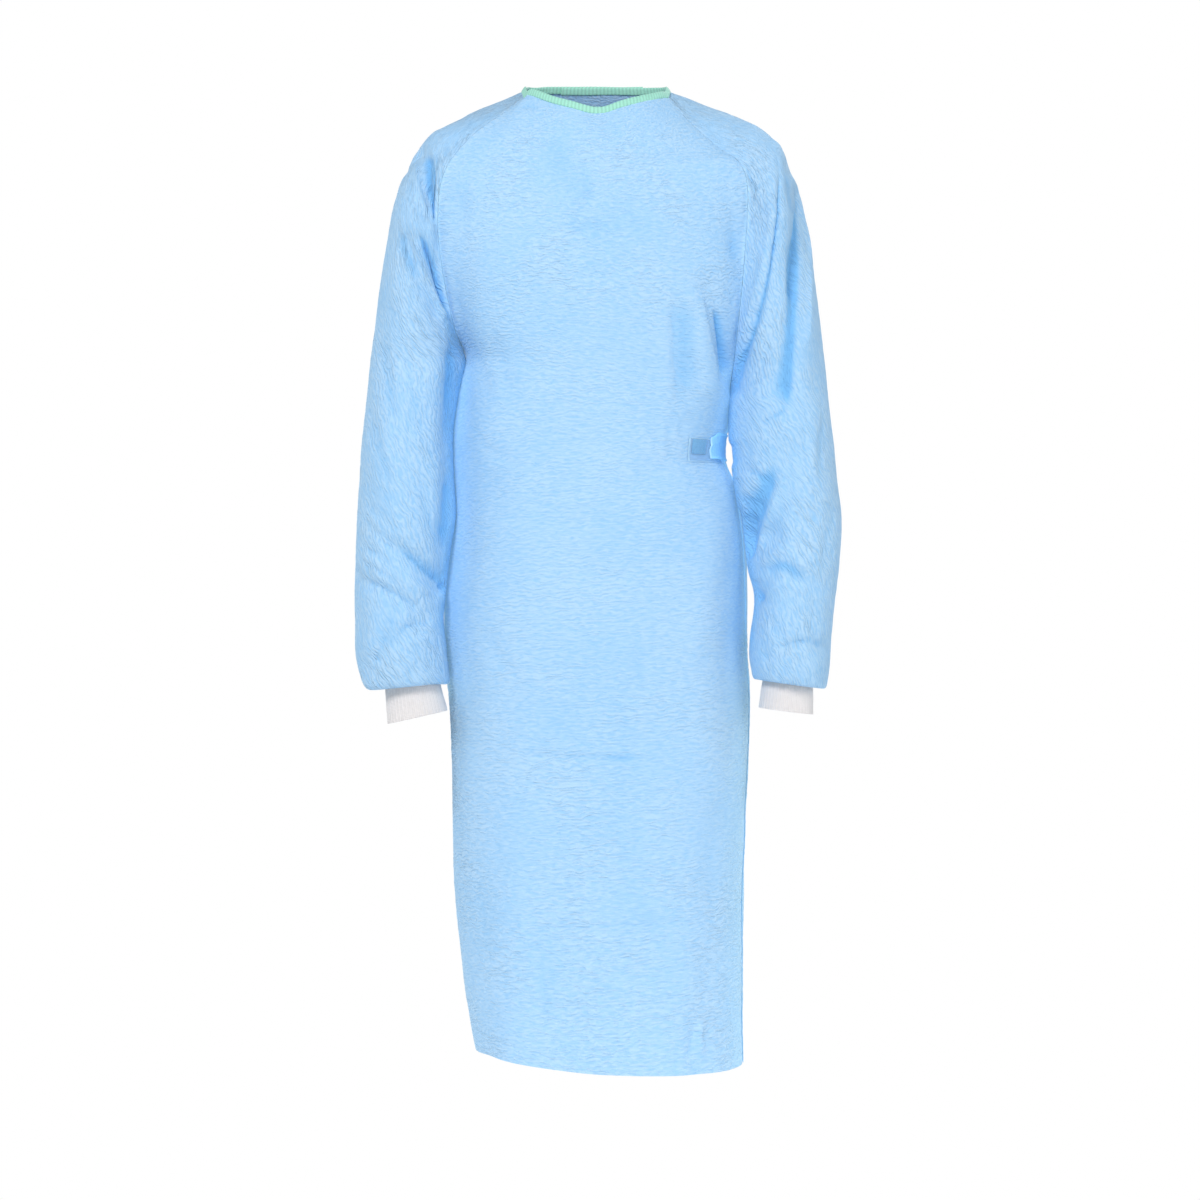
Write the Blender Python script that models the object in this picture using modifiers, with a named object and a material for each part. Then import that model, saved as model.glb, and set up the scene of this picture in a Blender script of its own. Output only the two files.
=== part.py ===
"""Surgical gown of crepe nonwoven in its worn shape, hollow, with no wearer.

The gown is a wrap. The front panel meets two back panels at the sides, and the
wearer's right back laps over the left one and round to the wearer's left side, where
a tie strip holds it on a film patch. Raglan sleeves run from the neck binding to
gathered knit cuffs.

Frame: metres, +Z up, the front faces -Y and the wearer's left is +X. The origin is
the middle of the neck opening, level with the sides of the neck.
"""
import math

import bpy
import numpy as np

MM = 0.001

# Cloth and trim thicknesses
CLOTH = 1.5 * MM
KNIT = 1.8 * MM
TAPE = 2.0 * MM
FILM = 1.0 * MM
TIE = 1.0 * MM

# Gaps between pieces
SEAM_GAP = 0.6 * MM
LAY_GAP = 0.3 * MM
UNDERARM_GAP = 0.8 * MM
LAP_LIFT = 3.0 * MM
PATCH_LIFT = 0.6 * MM
SQUARE_LIFT = 2.5 * MM
TIE_LIFT = 3.6 * MM

# Trim sizes
BINDING_HEIGHT = 8.0 * MM
BINDING_PROUD = 0.25 * MM
BINDING_GAP = 0.7 * MM
RIB_COUNT = 44
RIB_DEPTH = 0.5 * MM
CUFF_INSERT = 6.0 * MM
CUFF_CLEARANCE = 1.1 * MM

# Heights of the waist tie's edges, in millimetres
TIE_TOP = -404
TIE_BOTTOM = -434

# Levels count the sections down from the neck: the sleeves and the body share them
# down to the armpit, and each goes on with its own below it.
ARMPIT = 12
CUFF_SEAM = 23
HEM = 28

# Levels of the mesh rows: above the armpit, just below it, and at the sleeve's mouth
YOKE_LEVELS = (0, 1.25, 2.5, 3.75, 5, 6.25, 7.5, 8.75, 10, 10.8, 11.5, ARMPIT)
BELOW_ARMPIT = 12.8
MOUTH_LEVELS = (21, 21.6, 22.1, 22.6, CUFF_SEAM)
BELOW_TIE = -462
TIE_ROWS = 3
SKIRT_ROWS = 16
ARM_ROWS = 14

# Mesh columns across each piece
FRONT_COLUMNS = 20
UNDER_COLUMNS = 12
OVER_COLUMNS = 20
SLEEVE_COLUMNS = 24

# How much squarer than an ellipse the body is, and where that starts
SQUARENESS = 0.035
SQUARE_FROM = 6

# Folds die out over this share of a panel's half width at its sides, and over this
# share of the way round at a sleeve's seams.
PANEL_FADE = 0.12
SLEEVE_FADE = 0.10

# Across a panel, positions run from -1 at the wearer's right side to 1 at the left,
# and past 1 they go on round the left side to the front. The under layer ends at
# UNDER_EDGE, and the upper layer is lifted clear of it between the other two.
UNDER_EDGE = -0.36
LAP_START = -0.74
LAP_FULL = -0.50

# Places of the small pieces, as positions across their panel
PATCH_SPAN = (0.525, 0.80)
SQUARE_SPAN = (0.56, 0.665)
TIE_SPAN = (1.30, 0.55)
TAB_SPAN = (0.72, 0.18)
TAB_LEVELS = (0.25, 1.2)
SQUARE_MARGIN = 0.15


class Sections:
    """A short table of sections with named columns, in millimetres and degrees."""

    def __init__(self, fields, rows, first=0):
        self.fields = fields
        self.values = np.array(rows, dtype=float)
        self.first = first

    def at(self, field, level):
        """One column's value at a level, on a smooth curve through the sections."""
        v = self.values[:, self.fields.index(field)]
        v = np.concatenate(([2 * v[0] - v[1]], v, [2 * v[-1] - v[-2]]))
        last = len(v) - 3
        place = np.clip(np.asarray(level, dtype=float) - self.first, 0, last)
        k = np.minimum(np.floor(place).astype(int), last - 1)
        f = place - k
        a, b, c, d = v[k], v[k + 1], v[k + 2], v[k + 3]
        bend = 2 * a - 5 * b + 4 * c - d + f * (3 * (b - c) + d - a)
        return b + 0.5 * f * (c - a + f * bend)


# Down the middle of the body: how far the front and the back stand off, how much the
# front dips and the back rises at the middle, how much higher the back raglan seam
# starts, how far each panel turns, and where the upper back panel ends.
TORSO = Sections(
    ("front_y", "back_y", "front_drop", "back_rise", "back_lift", "front_turn", "back_turn", "lap_edge"),
    (
        (-90, 64, 25, 3, 15, 68, 84, 0.50),
        (-99, 77, 20, 5, 13, 58, 72, 0.51),
        (-105, 87, 19, 5, 11, 50, 61, 0.52),
        (-109, 94, 16, 4, 9, 46, 53, 0.54),
        (-113, 100, 14, 3, 8, 44, 49, 0.56),
        (-117, 105, 11, 2, 6, 45, 48, 0.58),
        (-120, 109, 8, 1, 5, 48, 50, 0.61),
        (-124, 112, 6, 0, 4, 52, 53, 0.64),
        (-127, 114, 4, 0, 3, 56, 57, 0.67),
        (-129, 115, 2, 0, 2, 62, 62, 0.71),
        (-130, 115, 1, 0, 1, 69, 69, 0.75),
        (-130, 114, 0, 0, 0, 78, 78, 0.80),
        (-130, 112, 0, 0, 0, 90, 90, 0.86),
        (-130, 109, 0, 0, 0, 90, 90, 0.96),
        (-130, 106, 0, 0, 0, 90, 90, 1.06),
        (-130, 104, 0, 0, 0, 90, 90, 1.11),
        (-130, 104, 0, 0, 0, 90, 90, 1.12),
        (-131, 106, 0, 0, 0, 90, 90, 1.12),
        (-132, 110, 0, 0, 0, 90, 90, 1.11),
        (-133, 116, 0, 0, 0, 90, 90, 1.10),
        (-134, 121, 0, 0, 0, 90, 90, 1.09),
        (-133, 122, 1, 0, 0, 90, 90, 1.08),
        (-132, 121, 1, 0, 0, 90, 90, 1.07),
        (-131, 119, 2, 0, 0, 90, 90, 1.06),
        (-130, 117, 2, 0, 0, 90, 90, 1.05),
        (-130, 116, 3, 0, 0, 90, 90, 1.05),
        (-130, 115, 3, 0, 0, 90, 90, 1.04),
        (-130, 115, 4, 0, 0, 90, 90, 1.04),
        (-130, 115, 7, 0, 0, 90, 90, 1.04),
    ),
)

# Down the two sides of the body, from the armpits to the hem. x counts outwards.
SIDES = Sections(
    ("right_x", "right_z", "left_x", "left_z", "side_y"),
    (
        (150, -321, 155, -357, -4),
        (158, -358, 152, -380, 6),
        (166, -400, 149, -406, 14),
        (168, -435, 149, -436, 20),
        (168, -467, 161, -467, 22),
        (167, -500, 167, -500, 22),
        (171, -540, 172, -540, 22),
        (176, -590, 174, -590, 21),
        (176, -650, 174, -650, 20),
        (171, -713, 177, -713, 18),
        (168, -780, 175, -780, 16),
        (167, -850, 172, -850, 14),
        (165, -920, 170, -920, 12),
        (159, -990, 169, -990, 11),
        (153, -1038, 169, -1038, 10),
        (146, -1083, 169, -1086, 10),
        (140, -1112, 170, -1134, 10),
    ),
    first=ARMPIT,
)

# Down each sleeve. "in" is the raglan seam, and under the armpit the inner side, and
# "out" is the outer side. turn is how far the cloth goes round past the widest place
# before it meets the seam: 90 degrees closes the tube.
SLEEVE_FIELDS = ("in_x", "in_z", "out_x", "out_z", "mid_y", "half_y", "turn")
SLEEVES = {
    "right": Sections(SLEEVE_FIELDS, (
        (83, -19, 86, -8, 0, 58, -55),
        (104, -37, 108, -18, -1, 63, -45),
        (126, -53, 137, -29, -2, 66, -34),
        (144, -69, 166, -42, -2, 68, -22),
        (158, -86, 189, -56, -3, 70, -9),
        (169, -102, 207, -77, -3, 73, 5),
        (177, -124, 218, -100, -3, 77, 17),
        (180, -152, 228, -127, -3, 80, 28),
        (180, -180, 237, -160, -3, 83, 34),
        (176, -215, 245, -204, -3, 85, 40),
        (170, -249, 252, -248, -3, 86, 50),
        (162, -285, 257, -293, -4, 86, 64),
        (150, -321, 262, -332, -4, 85, 90),
        (159, -354, 265, -367, -11, 83, 90),
        (166, -400, 270, -409, -18, 80, 90),
        (166, -446, 273, -452, -24, 77, 90),
        (163, -498, 275, -498, -28, 74, 90),
        (169, -539, 276, -539, -32, 71, 90),
        (174, -585, 277, -585, -36, 68, 90),
        (177, -618, 276, -622, -40, 65, 90),
        (174, -649, 276, -655, -43, 61, 90),
        (171, -678, 271, -680, -46, 55, 90),
        (170, -691, 262, -699, -48, 46, 90),
        (178, -690, 243, -697, -49, 30, 90),
    )),
    "left": Sections(SLEEVE_FIELDS, (
        (83, -19, 86, -8, 0, 58, -55),
        (103, -44, 111, -17, -1, 63, -45),
        (121, -63, 138, -28, -2, 66, -34),
        (142, -82, 168, -38, -2, 68, -22),
        (160, -95, 194, -51, -3, 70, -9),
        (170, -113, 213, -70, -3, 73, 5),
        (173, -138, 226, -94, -3, 77, 17),
        (172, -166, 236, -121, -3, 80, 28),
        (170, -198, 244, -158, -3, 83, 34),
        (167, -237, 250, -204, -3, 85, 40),
        (163, -279, 257, -254, -3, 86, 50),
        (159, -319, 262, -304, -4, 86, 64),
        (155, -357, 268, -353, -4, 85, 90),
        (158, -384, 271, -382, -11, 83, 90),
        (159, -417, 275, -419, -18, 80, 90),
        (164, -464, 279, -464, -24, 77, 90),
        (171, -507, 283, -507, -28, 74, 90),
        (176, -553, 280, -553, -32, 71, 90),
        (182, -597, 274, -597, -36, 68, 90),
        (177, -638, 270, -638, -40, 65, 90),
        (176, -660, 269, -664, -43, 61, 90),
        (178, -675, 267, -683, -46, 55, 90),
        (181, -687, 263, -698, -48, 46, 90),
        (190, -687, 250, -696, -49, 30, 90),
    )),
}

# Lower edge of each cuff
CUFF_ENDS = {
    "right": {"in_x": 169, "in_z": -723, "out_x": 240, "out_z": -739, "mid_y": -52, "half_y": 29},
    "left": {"in_x": 185, "in_z": -720, "out_x": 250, "out_z": -728, "mid_y": -52, "half_y": 29},
}

# Large folds, each along a line in the front view: a negative height is a trough.
FOLD_FIELDS = ("x0", "z0", "x1", "z1", "height", "width")
FRONT_FOLDS = (
    (130, -245, 146, -330, -7, 16),
    (112, -260, 128, -345, 4, 18),
    (152, -128, 166, -195, -3, 14),
    (-158, -150, -150, -290, -4, 16),
    (118, -436, 60, -455, -3, 20),
    (150, -470, 120, -640, 4, 24),
    (118, -1130, 126, -1010, -4, 16),
    (-90, -1125, -84, -860, 4, 30),
    (40, -1130, 30, -900, -4, 34),
    (-70, -340, -120, -470, -3, 26),
)
BACK_FOLDS = (
    (-110, -200, -60, -330, -5, 26),
    (95, -210, 55, -350, -4, 24),
    (-30, -430, -120, -520, -4, 24),
    (-60, -560, -80, -1130, 6, 34),
    (20, -600, 30, -1130, -6, 32),
    (100, -520, 110, -1130, 5, 30),
    (-130, -640, -128, -1110, -4, 24),
)
SLEEVE_FOLDS = {
    "right": {
        "front": (
            (-206, -82, -190, -160, -9, 12),
            (-210, -190, -178, -262, -8, 13),
            (-222, -120, -226, -250, 4, 14),
            (-228, -538, -184, -580, -5, 14),
            (-274, -570, -200, -612, -5, 12),
            (-256, -672, -206, -632, -4, 12),
            (-240, -430, -214, -520, 4, 20),
        ),
        "back": (
            (-200, -110, -190, -230, -6, 14),
            (-250, -400, -190, -450, -6, 16),
            (-262, -540, -196, -590, -5, 16),
            (-236, -300, -250, -520, 4, 20),
        ),
    },
    "left": {
        "front": (
            (212, -78, 204, -162, 5, 12),
            (204, -162, 180, -306, 6, 13),
            (192, -160, 176, -270, -5, 14),
            (236, -130, 238, -240, -7, 13),
            (222, -432, 196, -520, -7, 16),
            (196, -520, 188, -545, -5, 14),
            (196, -552, 244, -556, 4, 14),
            (200, -660, 262, -652, -4, 12),
            (232, -300, 246, -470, 4, 20),
        ),
        "back": (
            (200, -110, 190, -240, -6, 14),
            (254, -410, 190, -460, -6, 16),
            (262, -560, 196, -600, -5, 16),
            (236, -310, 250, -510, 4, 20),
        ),
    },
}

COLOURS = {
    "crepe": (0.335, 0.585, 0.93),
    "knit": (0.86, 0.86, 0.86),
    "binding": (0.30, 0.80, 0.60),
    "film": (0.40, 0.64, 0.93),
    "square": (0.22, 0.47, 0.86),
    "tab": (0.85, 0.88, 0.90),
}


def fold_height(folds, x, z):
    """Height of all folds of a list at places of the front view, in metres."""
    total = np.zeros_like(x)
    for fold in folds:
        f = dict(zip(FOLD_FIELDS, fold))
        run_x = (f["x1"] - f["x0"]) * MM
        run_z = (f["z1"] - f["z0"]) * MM
        from_x = x - f["x0"] * MM
        from_z = z - f["z0"] * MM
        along = (from_x * run_x + from_z * run_z) / (run_x ** 2 + run_z ** 2)
        along = np.clip(along, 0, 1)
        away = np.hypot(from_x - along * run_x, from_z - along * run_z)
        total += f["height"] * MM * np.exp(-(away / (f["width"] * MM)) ** 2)
    return total


def smooth_step(value, low, high):
    """0 below low, 1 above high, with a soft ramp between."""
    t = np.clip((value - low) / (high - low), 0, 1)
    return t * t * (3 - 2 * t)


def side_edge(side, level):
    """Where the panels end at one side: x outwards, z, and the front and back y."""
    sleeve = SLEEVES[side]
    upper = level < ARMPIT
    x = np.where(upper, sleeve.at("in_x", level), SIDES.at(side + "_x", level))
    z = np.where(upper, sleeve.at("in_z", level), SIDES.at(side + "_z", level))
    middle = np.where(upper, sleeve.at("mid_y", level), SIDES.at("side_y", level))
    turn = np.radians(sleeve.at("turn", level))
    reach = np.where(upper, sleeve.at("half_y", level) * np.cos(turn), 0)
    return x * MM, z * MM, (middle - reach) * MM, (middle + reach) * MM


def body_surface(half, level, position):
    """Points of the body's outer face, on its front or back half.

    position runs from -1 at the wearer's right side to 1 at the left.
    """
    left_x, left_z, left_front, left_back = side_edge("left", level)
    right_x, right_z, right_front, right_back = side_edge("right", level)
    turn = np.radians(TORSO.at(half + "_turn", level))
    angle = position * turn
    across = np.sin(angle) / np.sin(turn)
    share = (across + 1) / 2
    bulge = (np.cos(angle) - np.cos(turn)) / (1 - np.cos(turn))
    square = 1 + SQUARENESS * np.sin(math.pi * position) ** 2 * smooth_step(level, SQUARE_FROM, ARMPIT)
    x = np.where(position > 0, left_x, right_x) * across * square
    z = right_z * (1 - share) + left_z * share
    if half == "front":
        edge_y = right_front * (1 - share) + left_front * share
        centre_y = TORSO.at("front_y", level) * MM
        z = z - TORSO.at("front_drop", level) * MM * (1 - across ** 2)
        folds = FRONT_FOLDS
    else:
        edge_y = right_back * (1 - share) + left_back * share
        centre_y = TORSO.at("back_y", level) * MM
        z = z + TORSO.at("back_lift", level) * MM
        z = z + TORSO.at("back_rise", level) * MM * (1 - across ** 2)
        folds = BACK_FOLDS
    y = edge_y + (centre_y - edge_y) * bulge * square
    away = np.stack([x, y - 0.5 * edge_y, np.zeros_like(x)], axis=-1)
    away /= np.linalg.norm(away, axis=-1, keepdims=True)
    edge_fade = smooth_step(1 - np.abs(position), 0, PANEL_FADE)
    height = fold_height(folds, x, z) * edge_fade
    return np.stack([x, y, z], axis=-1) + away * height[..., None]


def body_points(half, level, position, lift=0.0):
    """Points of the body's outer face, moved out square to it by lift."""
    level, position = np.broadcast_arrays(np.asarray(level, float), np.asarray(position, float))
    points = body_surface(half, level, position)
    down = body_surface(half, level + 0.1, position) - body_surface(half, level - 0.1, position)
    along = body_surface(half, level, position + 0.02) - body_surface(half, level, position - 0.02)
    out = np.cross(down, along) if half == "front" else np.cross(along, down)
    out /= np.linalg.norm(out, axis=-1, keepdims=True)
    return points + out * np.asarray(lift)[..., None]


def wrap_points(level, position, lift):
    """Points round the back and, past position 1, on round the left side to the front."""
    level, position = np.broadcast_arrays(np.asarray(level, float), np.asarray(position, float))
    back = body_points("back", level, np.minimum(position, 1), lift)
    front = body_points("front", level, np.minimum(2 - position, 1), lift)
    return np.where((position > 1)[..., None], front, back)


def sleeve_points(side, level, around):
    """Points of a sleeve's outer face: around runs 0 to 1 from the front seam, over
    the outer side, to the back seam."""
    level, around = np.broadcast_arrays(np.asarray(level, float), np.asarray(around, float))
    table = SLEEVES[side]
    sign = 1 if side == "left" else -1
    lift = np.where(around > 0.5, TORSO.at("back_lift", np.minimum(level, ARMPIT)), 0)
    inner = np.stack([table.at("in_x", level), table.at("in_z", level) + lift], axis=-1) * MM
    outer = np.stack([table.at("out_x", level), table.at("out_z", level)], axis=-1) * MM
    span = outer - inner
    width = np.linalg.norm(span, axis=-1)
    unit = span / width[..., None]
    underarm = smooth_step(level, ARMPIT - 1, ARMPIT) - smooth_step(level, ARMPIT + 1, ARMPIT + 3)
    inner = inner + unit * (UNDERARM_GAP * underarm)[..., None]
    width = width - UNDERARM_GAP * underarm
    turn = np.radians(table.at("turn", level))
    angle = -turn + around * (math.pi + 2 * turn)
    half_width = width / (1 + np.sin(turn))
    half_depth = table.at("half_y", level) * MM
    centre = outer - unit * half_width[..., None]
    reach = half_width * np.sin(angle)
    x = centre[..., 0] + unit[..., 0] * reach
    z = centre[..., 1] + unit[..., 1] * reach
    y = table.at("mid_y", level) * MM - half_depth * np.cos(angle)
    away = np.stack([unit[..., 0] * reach, -half_depth * np.cos(angle), unit[..., 1] * reach], axis=-1)
    away /= np.linalg.norm(away, axis=-1, keepdims=True)
    facing = smooth_step(np.abs(away[..., 1]), 0.05, 0.45)
    seam_fade = np.where(level < ARMPIT, smooth_step(0.5 - np.abs(around - 0.5), 0, SLEEVE_FADE), 1)
    front_height = fold_height(SLEEVE_FOLDS[side]["front"], sign * x, z)
    back_height = fold_height(SLEEVE_FOLDS[side]["back"], sign * x, z)
    height = np.where(away[..., 1] < 0, front_height, back_height) * facing * seam_fade
    points = np.stack([x, y, z], axis=-1) + away * height[..., None]
    points[..., 0] *= sign
    return points


def trim_columns(points, rows):
    """Moves both side edges of a grid inwards by half the seam gap, on some rows."""
    for edge, inside in ((0, 1), (-1, -2)):
        step = points[rows, inside] - points[rows, edge]
        step /= np.linalg.norm(step, axis=-1, keepdims=True)
        points[rows, edge] += step * SEAM_GAP / 2
    return points


def add_material(name, colour, roughness):
    """A plain finish for one piece."""
    material = bpy.data.materials.new(name + "_finish")
    material.use_nodes = True
    shader = material.node_tree.nodes["Principled BSDF"]
    shader.inputs["Base Color"].default_value = (*COLOURS[colour], 1)
    shader.inputs["Roughness"].default_value = roughness
    shader.inputs["Metallic"].default_value = 0
    return material


def add_wall(name, points, thickness, colour, roughness=0.6, outwards=False, flip=False, closed=None):
    """A sheet through a grid of points, made a wall by Solidify.

    The grid gives the outer face, or the inner face where outwards is set. closed
    marks the rows whose last point is their first one, as on a tube.
    """
    rows, columns = points.shape[:2]
    if closed is None:
        closed = np.zeros(rows, dtype=bool)
    index = np.zeros((rows, columns), dtype=int)
    vertices = []
    for r in range(rows):
        for c in range(columns):
            if c == columns - 1 and closed[r]:
                index[r, c] = index[r, 0]
                continue
            index[r, c] = len(vertices)
            vertices.append(tuple(points[r, c]))
    faces = []
    for r in range(rows - 1):
        for c in range(columns - 1):
            face = (index[r, c], index[r + 1, c], index[r + 1, c + 1], index[r, c + 1])
            faces.append(face[::-1] if flip else face)
    mesh = bpy.data.meshes.new(name)
    mesh.from_pydata(vertices, [], faces)
    mesh.shade_smooth()
    mesh.materials.append(add_material(name, colour, roughness))
    piece = bpy.data.objects.new(name, mesh)
    gown.objects.link(piece)
    wall = piece.modifiers.new("Wall", "SOLIDIFY")
    wall.thickness = thickness
    wall.offset = 1 if outwards else -1
    return piece


def level_at(side, z):
    """The level at which the body's side stands at a height."""
    levels = np.linspace(ARMPIT, HEM, 400)
    heights = SIDES.at(side + "_z", levels)
    return np.interp(-z, -heights, levels)


def tie_levels():
    """Rows from the top to the bottom edge of the waist tie."""
    return level_at("left", np.linspace(TIE_TOP, TIE_BOTTOM, TIE_ROWS))


def body_levels():
    """Rows of the body panels: close together at the neck and the armpits."""
    waist = np.concatenate(([BELOW_ARMPIT], tie_levels(), [level_at("left", BELOW_TIE)]))
    skirt = np.linspace(waist[-1], HEM, SKIRT_ROWS + 1)[1:]
    return np.concatenate((YOKE_LEVELS, waist, skirt))


def sleeve_levels():
    """Rows of the sleeves: the upper ones are the body's own, so the seams fit."""
    arm = np.linspace(ARMPIT, MOUTH_LEVELS[0], ARM_ROWS + 1)[1:-1]
    return np.concatenate((YOKE_LEVELS, arm, MOUTH_LEVELS))


def build_front():
    """The front panel, one piece from the neck to the hem."""
    level = body_levels()[:, None]
    position = np.linspace(-1, 1, FRONT_COLUMNS + 1)
    points = trim_columns(body_points("front", level, position), slice(None))
    add_wall("front_panel", points, CLOTH, "crepe")


def build_backs():
    """The under layer, from the left side past the middle, and the upper layer, from
    the right side over it and round the left side."""
    levels = body_levels()
    level = levels[:, None]
    position = np.linspace(1, UNDER_EDGE, UNDER_COLUMNS + 1)
    under = trim_columns(body_points("back", level, position), slice(None))
    add_wall("back_panel_left", under, CLOTH, "crepe")
    share = np.linspace(1, 0, OVER_COLUMNS + 1)
    position = -1 + share * (TORSO.at("lap_edge", level) + 1)
    lift = LAP_LIFT * smooth_step(position, LAP_START, LAP_FULL)
    over = trim_columns(wrap_points(level, position, lift), slice(None))
    add_wall("back_panel_right", over, CLOTH, "crepe")


def build_sleeves():
    """Two raglan sleeves, open along the raglan seams and closed under the arm."""
    levels = sleeve_levels()
    closed = levels >= ARMPIT
    for side in ("right", "left"):
        around = np.linspace(0, 1, SLEEVE_COLUMNS + 1)
        points = sleeve_points(side, levels[:, None], around)
        points = trim_columns(points, np.flatnonzero(~closed))
        add_wall("sleeve_" + side, points, CLOTH, "crepe", flip=side == "right", closed=closed)


def ring_points(section, sign, angle, inset):
    """A ring of a cuff: inset moves it in from the section's edge."""
    inner = np.array([section["in_x"], section["in_z"]]) * MM
    outer = np.array([section["out_x"], section["out_z"]]) * MM
    centre = (inner + outer) / 2
    half_width = np.linalg.norm(outer - inner) / 2 - inset
    unit = (outer - inner) / np.linalg.norm(outer - inner)
    half_depth = section["half_y"] * MM - inset
    x = centre[0] + unit[0] * half_width * np.sin(angle)
    z = centre[1] + unit[1] * half_width * np.sin(angle)
    y = section["mid_y"] * MM - half_depth * np.cos(angle)
    return np.stack([sign * x, y, z], axis=-1)


def build_cuffs():
    """Knit tubes with raised ribs, set into the mouths of the sleeves."""
    angle = np.linspace(-math.pi / 2, 3 * math.pi / 2, 2 * RIB_COUNT + 1)
    valley = RIB_DEPTH * (np.arange(len(angle)) % 2)
    for side in ("right", "left"):
        sign = 1 if side == "left" else -1
        sleeve = SLEEVES[side]
        mouth = {name: float(sleeve.at(name, CUFF_SEAM)) for name in SLEEVE_FIELDS}
        end = CUFF_ENDS[side]
        inset = CUFF_CLEARANCE + valley
        top = ring_points(mouth, sign, angle, inset)
        low = ring_points(end, sign, angle, inset)
        axis = low.mean(axis=0) - top.mean(axis=0)
        axis /= np.linalg.norm(axis)
        inside = top - axis * CUFF_INSERT
        points = np.stack([inside, (top + low) / 2, low])
        closed = np.ones(len(points), dtype=bool)
        add_wall("cuff_" + side, points, KNIT, "knit", 0.9, flip=side == "right", closed=closed)


def neck_ring(level):
    """The line round the neck at a level, from the under layer's free edge at the back,
    round by the left side and the front, to the upper layer's free edge."""
    lap_edge = float(TORSO.at("lap_edge", 0))
    under = body_points("back", level, np.linspace(UNDER_EDGE, 1, 13))
    left = sleeve_points("left", level, np.linspace(1, 0, 7))[1:-1]
    front = body_points("front", level, np.linspace(1, -1, 23))
    right = sleeve_points("right", level, np.linspace(0, 1, 7))[1:-1]
    position = np.linspace(-1, lap_edge, 15)
    over = body_points("back", level, position, LAP_LIFT * smooth_step(position, LAP_START, LAP_FULL))
    return np.concatenate((under, left, front, right, over))


def build_binding():
    """The folded tape on the neck edge, one strip whose ends lap at the back."""
    ring = neck_ring(0)
    rise = ring - neck_ring(0.5)
    rise /= np.linalg.norm(rise, axis=-1, keepdims=True)
    rise += (0, 0, 1)
    rise /= np.linalg.norm(rise, axis=-1, keepdims=True)
    run = np.gradient(ring, axis=0)
    out = np.cross(rise, run)
    out /= np.linalg.norm(out, axis=-1, keepdims=True)
    heights = np.linspace(BINDING_GAP, BINDING_HEIGHT, 3)
    points = np.stack([ring + rise * h + out * BINDING_PROUD for h in heights[::-1]])
    add_wall("neck_binding", points, TAPE, "binding", 0.55, flip=True)


def build_waist_fastening():
    """The film patch with its blue square, and the tie strip from it round the side."""
    rows = tie_levels()[:, None]
    patch = body_points("front", rows, np.linspace(*PATCH_SPAN, 7), PATCH_LIFT)
    add_wall("tie_patch", patch, FILM, "film", 0.25, outwards=True)
    tie = wrap_points(rows, np.linspace(*TIE_SPAN, 14), TIE_LIFT)
    add_wall("waist_tie", tie, TIE, "crepe", outwards=True)
    margin = SQUARE_MARGIN * (rows[-1] - rows[0])
    rows = np.linspace(rows[0] + margin, rows[-1] - margin, TIE_ROWS)
    square = body_points("front", rows, np.linspace(*SQUARE_SPAN, 4), SQUARE_LIFT)
    add_wall("tie_square", square, FILM, "square", 0.5, outwards=True)


def build_neck_tab():
    """The hook-and-loop tab across the lapped edges at the back of the neck."""
    rows = np.linspace(*TAB_LEVELS, 4)[:, None]
    tab = body_points("back", rows, np.linspace(*TAB_SPAN, 8), LAP_LIFT + LAY_GAP)
    add_wall("neck_tab", tab, TIE, "tab", outwards=True)


for old in list(bpy.data.objects):
    bpy.data.objects.remove(old)
gown = bpy.data.collections.new("surgical_gown")
bpy.context.scene.collection.children.link(gown)

build_front()
build_backs()
build_sleeves()
build_cuffs()
build_binding()
build_waist_fastening()
build_neck_tab()
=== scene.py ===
"""Looks of a surgical gown of crepe nonwoven, hollow, in its worn shape.

Each cloth piece is a thin sheet on the same tables and functions as its CAD solid, with
creases, dents and crinkle added square to the cloth. Frame: metres, +Z up, the front
faces -Y, and left, as worn, is +X. The tables are in millimetres and degrees.
"""
import math
from functools import partial

import bpy
import numpy as np
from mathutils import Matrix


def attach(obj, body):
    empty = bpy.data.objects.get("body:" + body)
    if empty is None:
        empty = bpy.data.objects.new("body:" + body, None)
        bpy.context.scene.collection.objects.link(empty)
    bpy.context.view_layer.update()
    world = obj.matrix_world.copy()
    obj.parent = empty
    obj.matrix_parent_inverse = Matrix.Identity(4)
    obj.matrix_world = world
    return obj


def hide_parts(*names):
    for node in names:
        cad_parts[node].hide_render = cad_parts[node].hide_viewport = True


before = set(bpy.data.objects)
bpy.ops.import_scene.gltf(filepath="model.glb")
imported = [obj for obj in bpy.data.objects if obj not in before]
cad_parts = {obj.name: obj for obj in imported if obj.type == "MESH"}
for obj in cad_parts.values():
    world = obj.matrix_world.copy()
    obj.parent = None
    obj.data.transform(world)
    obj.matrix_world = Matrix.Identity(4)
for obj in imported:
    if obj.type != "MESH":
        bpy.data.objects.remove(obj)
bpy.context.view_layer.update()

bl_info = {
    "name": "Surgical Gown",
    "version": (1, 0, 0),
    "blender": (4, 5, 0),
    "location": "3D View > Sidebar > Gown",
    "description": "Builds the visible pieces of a crepe nonwoven gown round its CAD frame",
    "category": "Mesh",
}

MM = 0.001
SIDE_SIGNS = {"right": -1, "left": 1}

# Lifts of the pieces that lie on a panel
LAP_LIFT = 3.0
FREE_EDGE_LIFT = 0.9
PATCH_LIFT = 0.8
SQUARE_LIFT = 1.6
TIE_LIFT = 4.2
TIE_END_LIFT = 2.2
TAB_LIFT = 4.2

# The upper back panel's free edge: where it starts to come down, over what width, and
# the height, width and step of its folded hem
FREE_EDGE_REACH = (30, 26)
OVER_HEM = (0.45, 5.5, 0.8)

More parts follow.
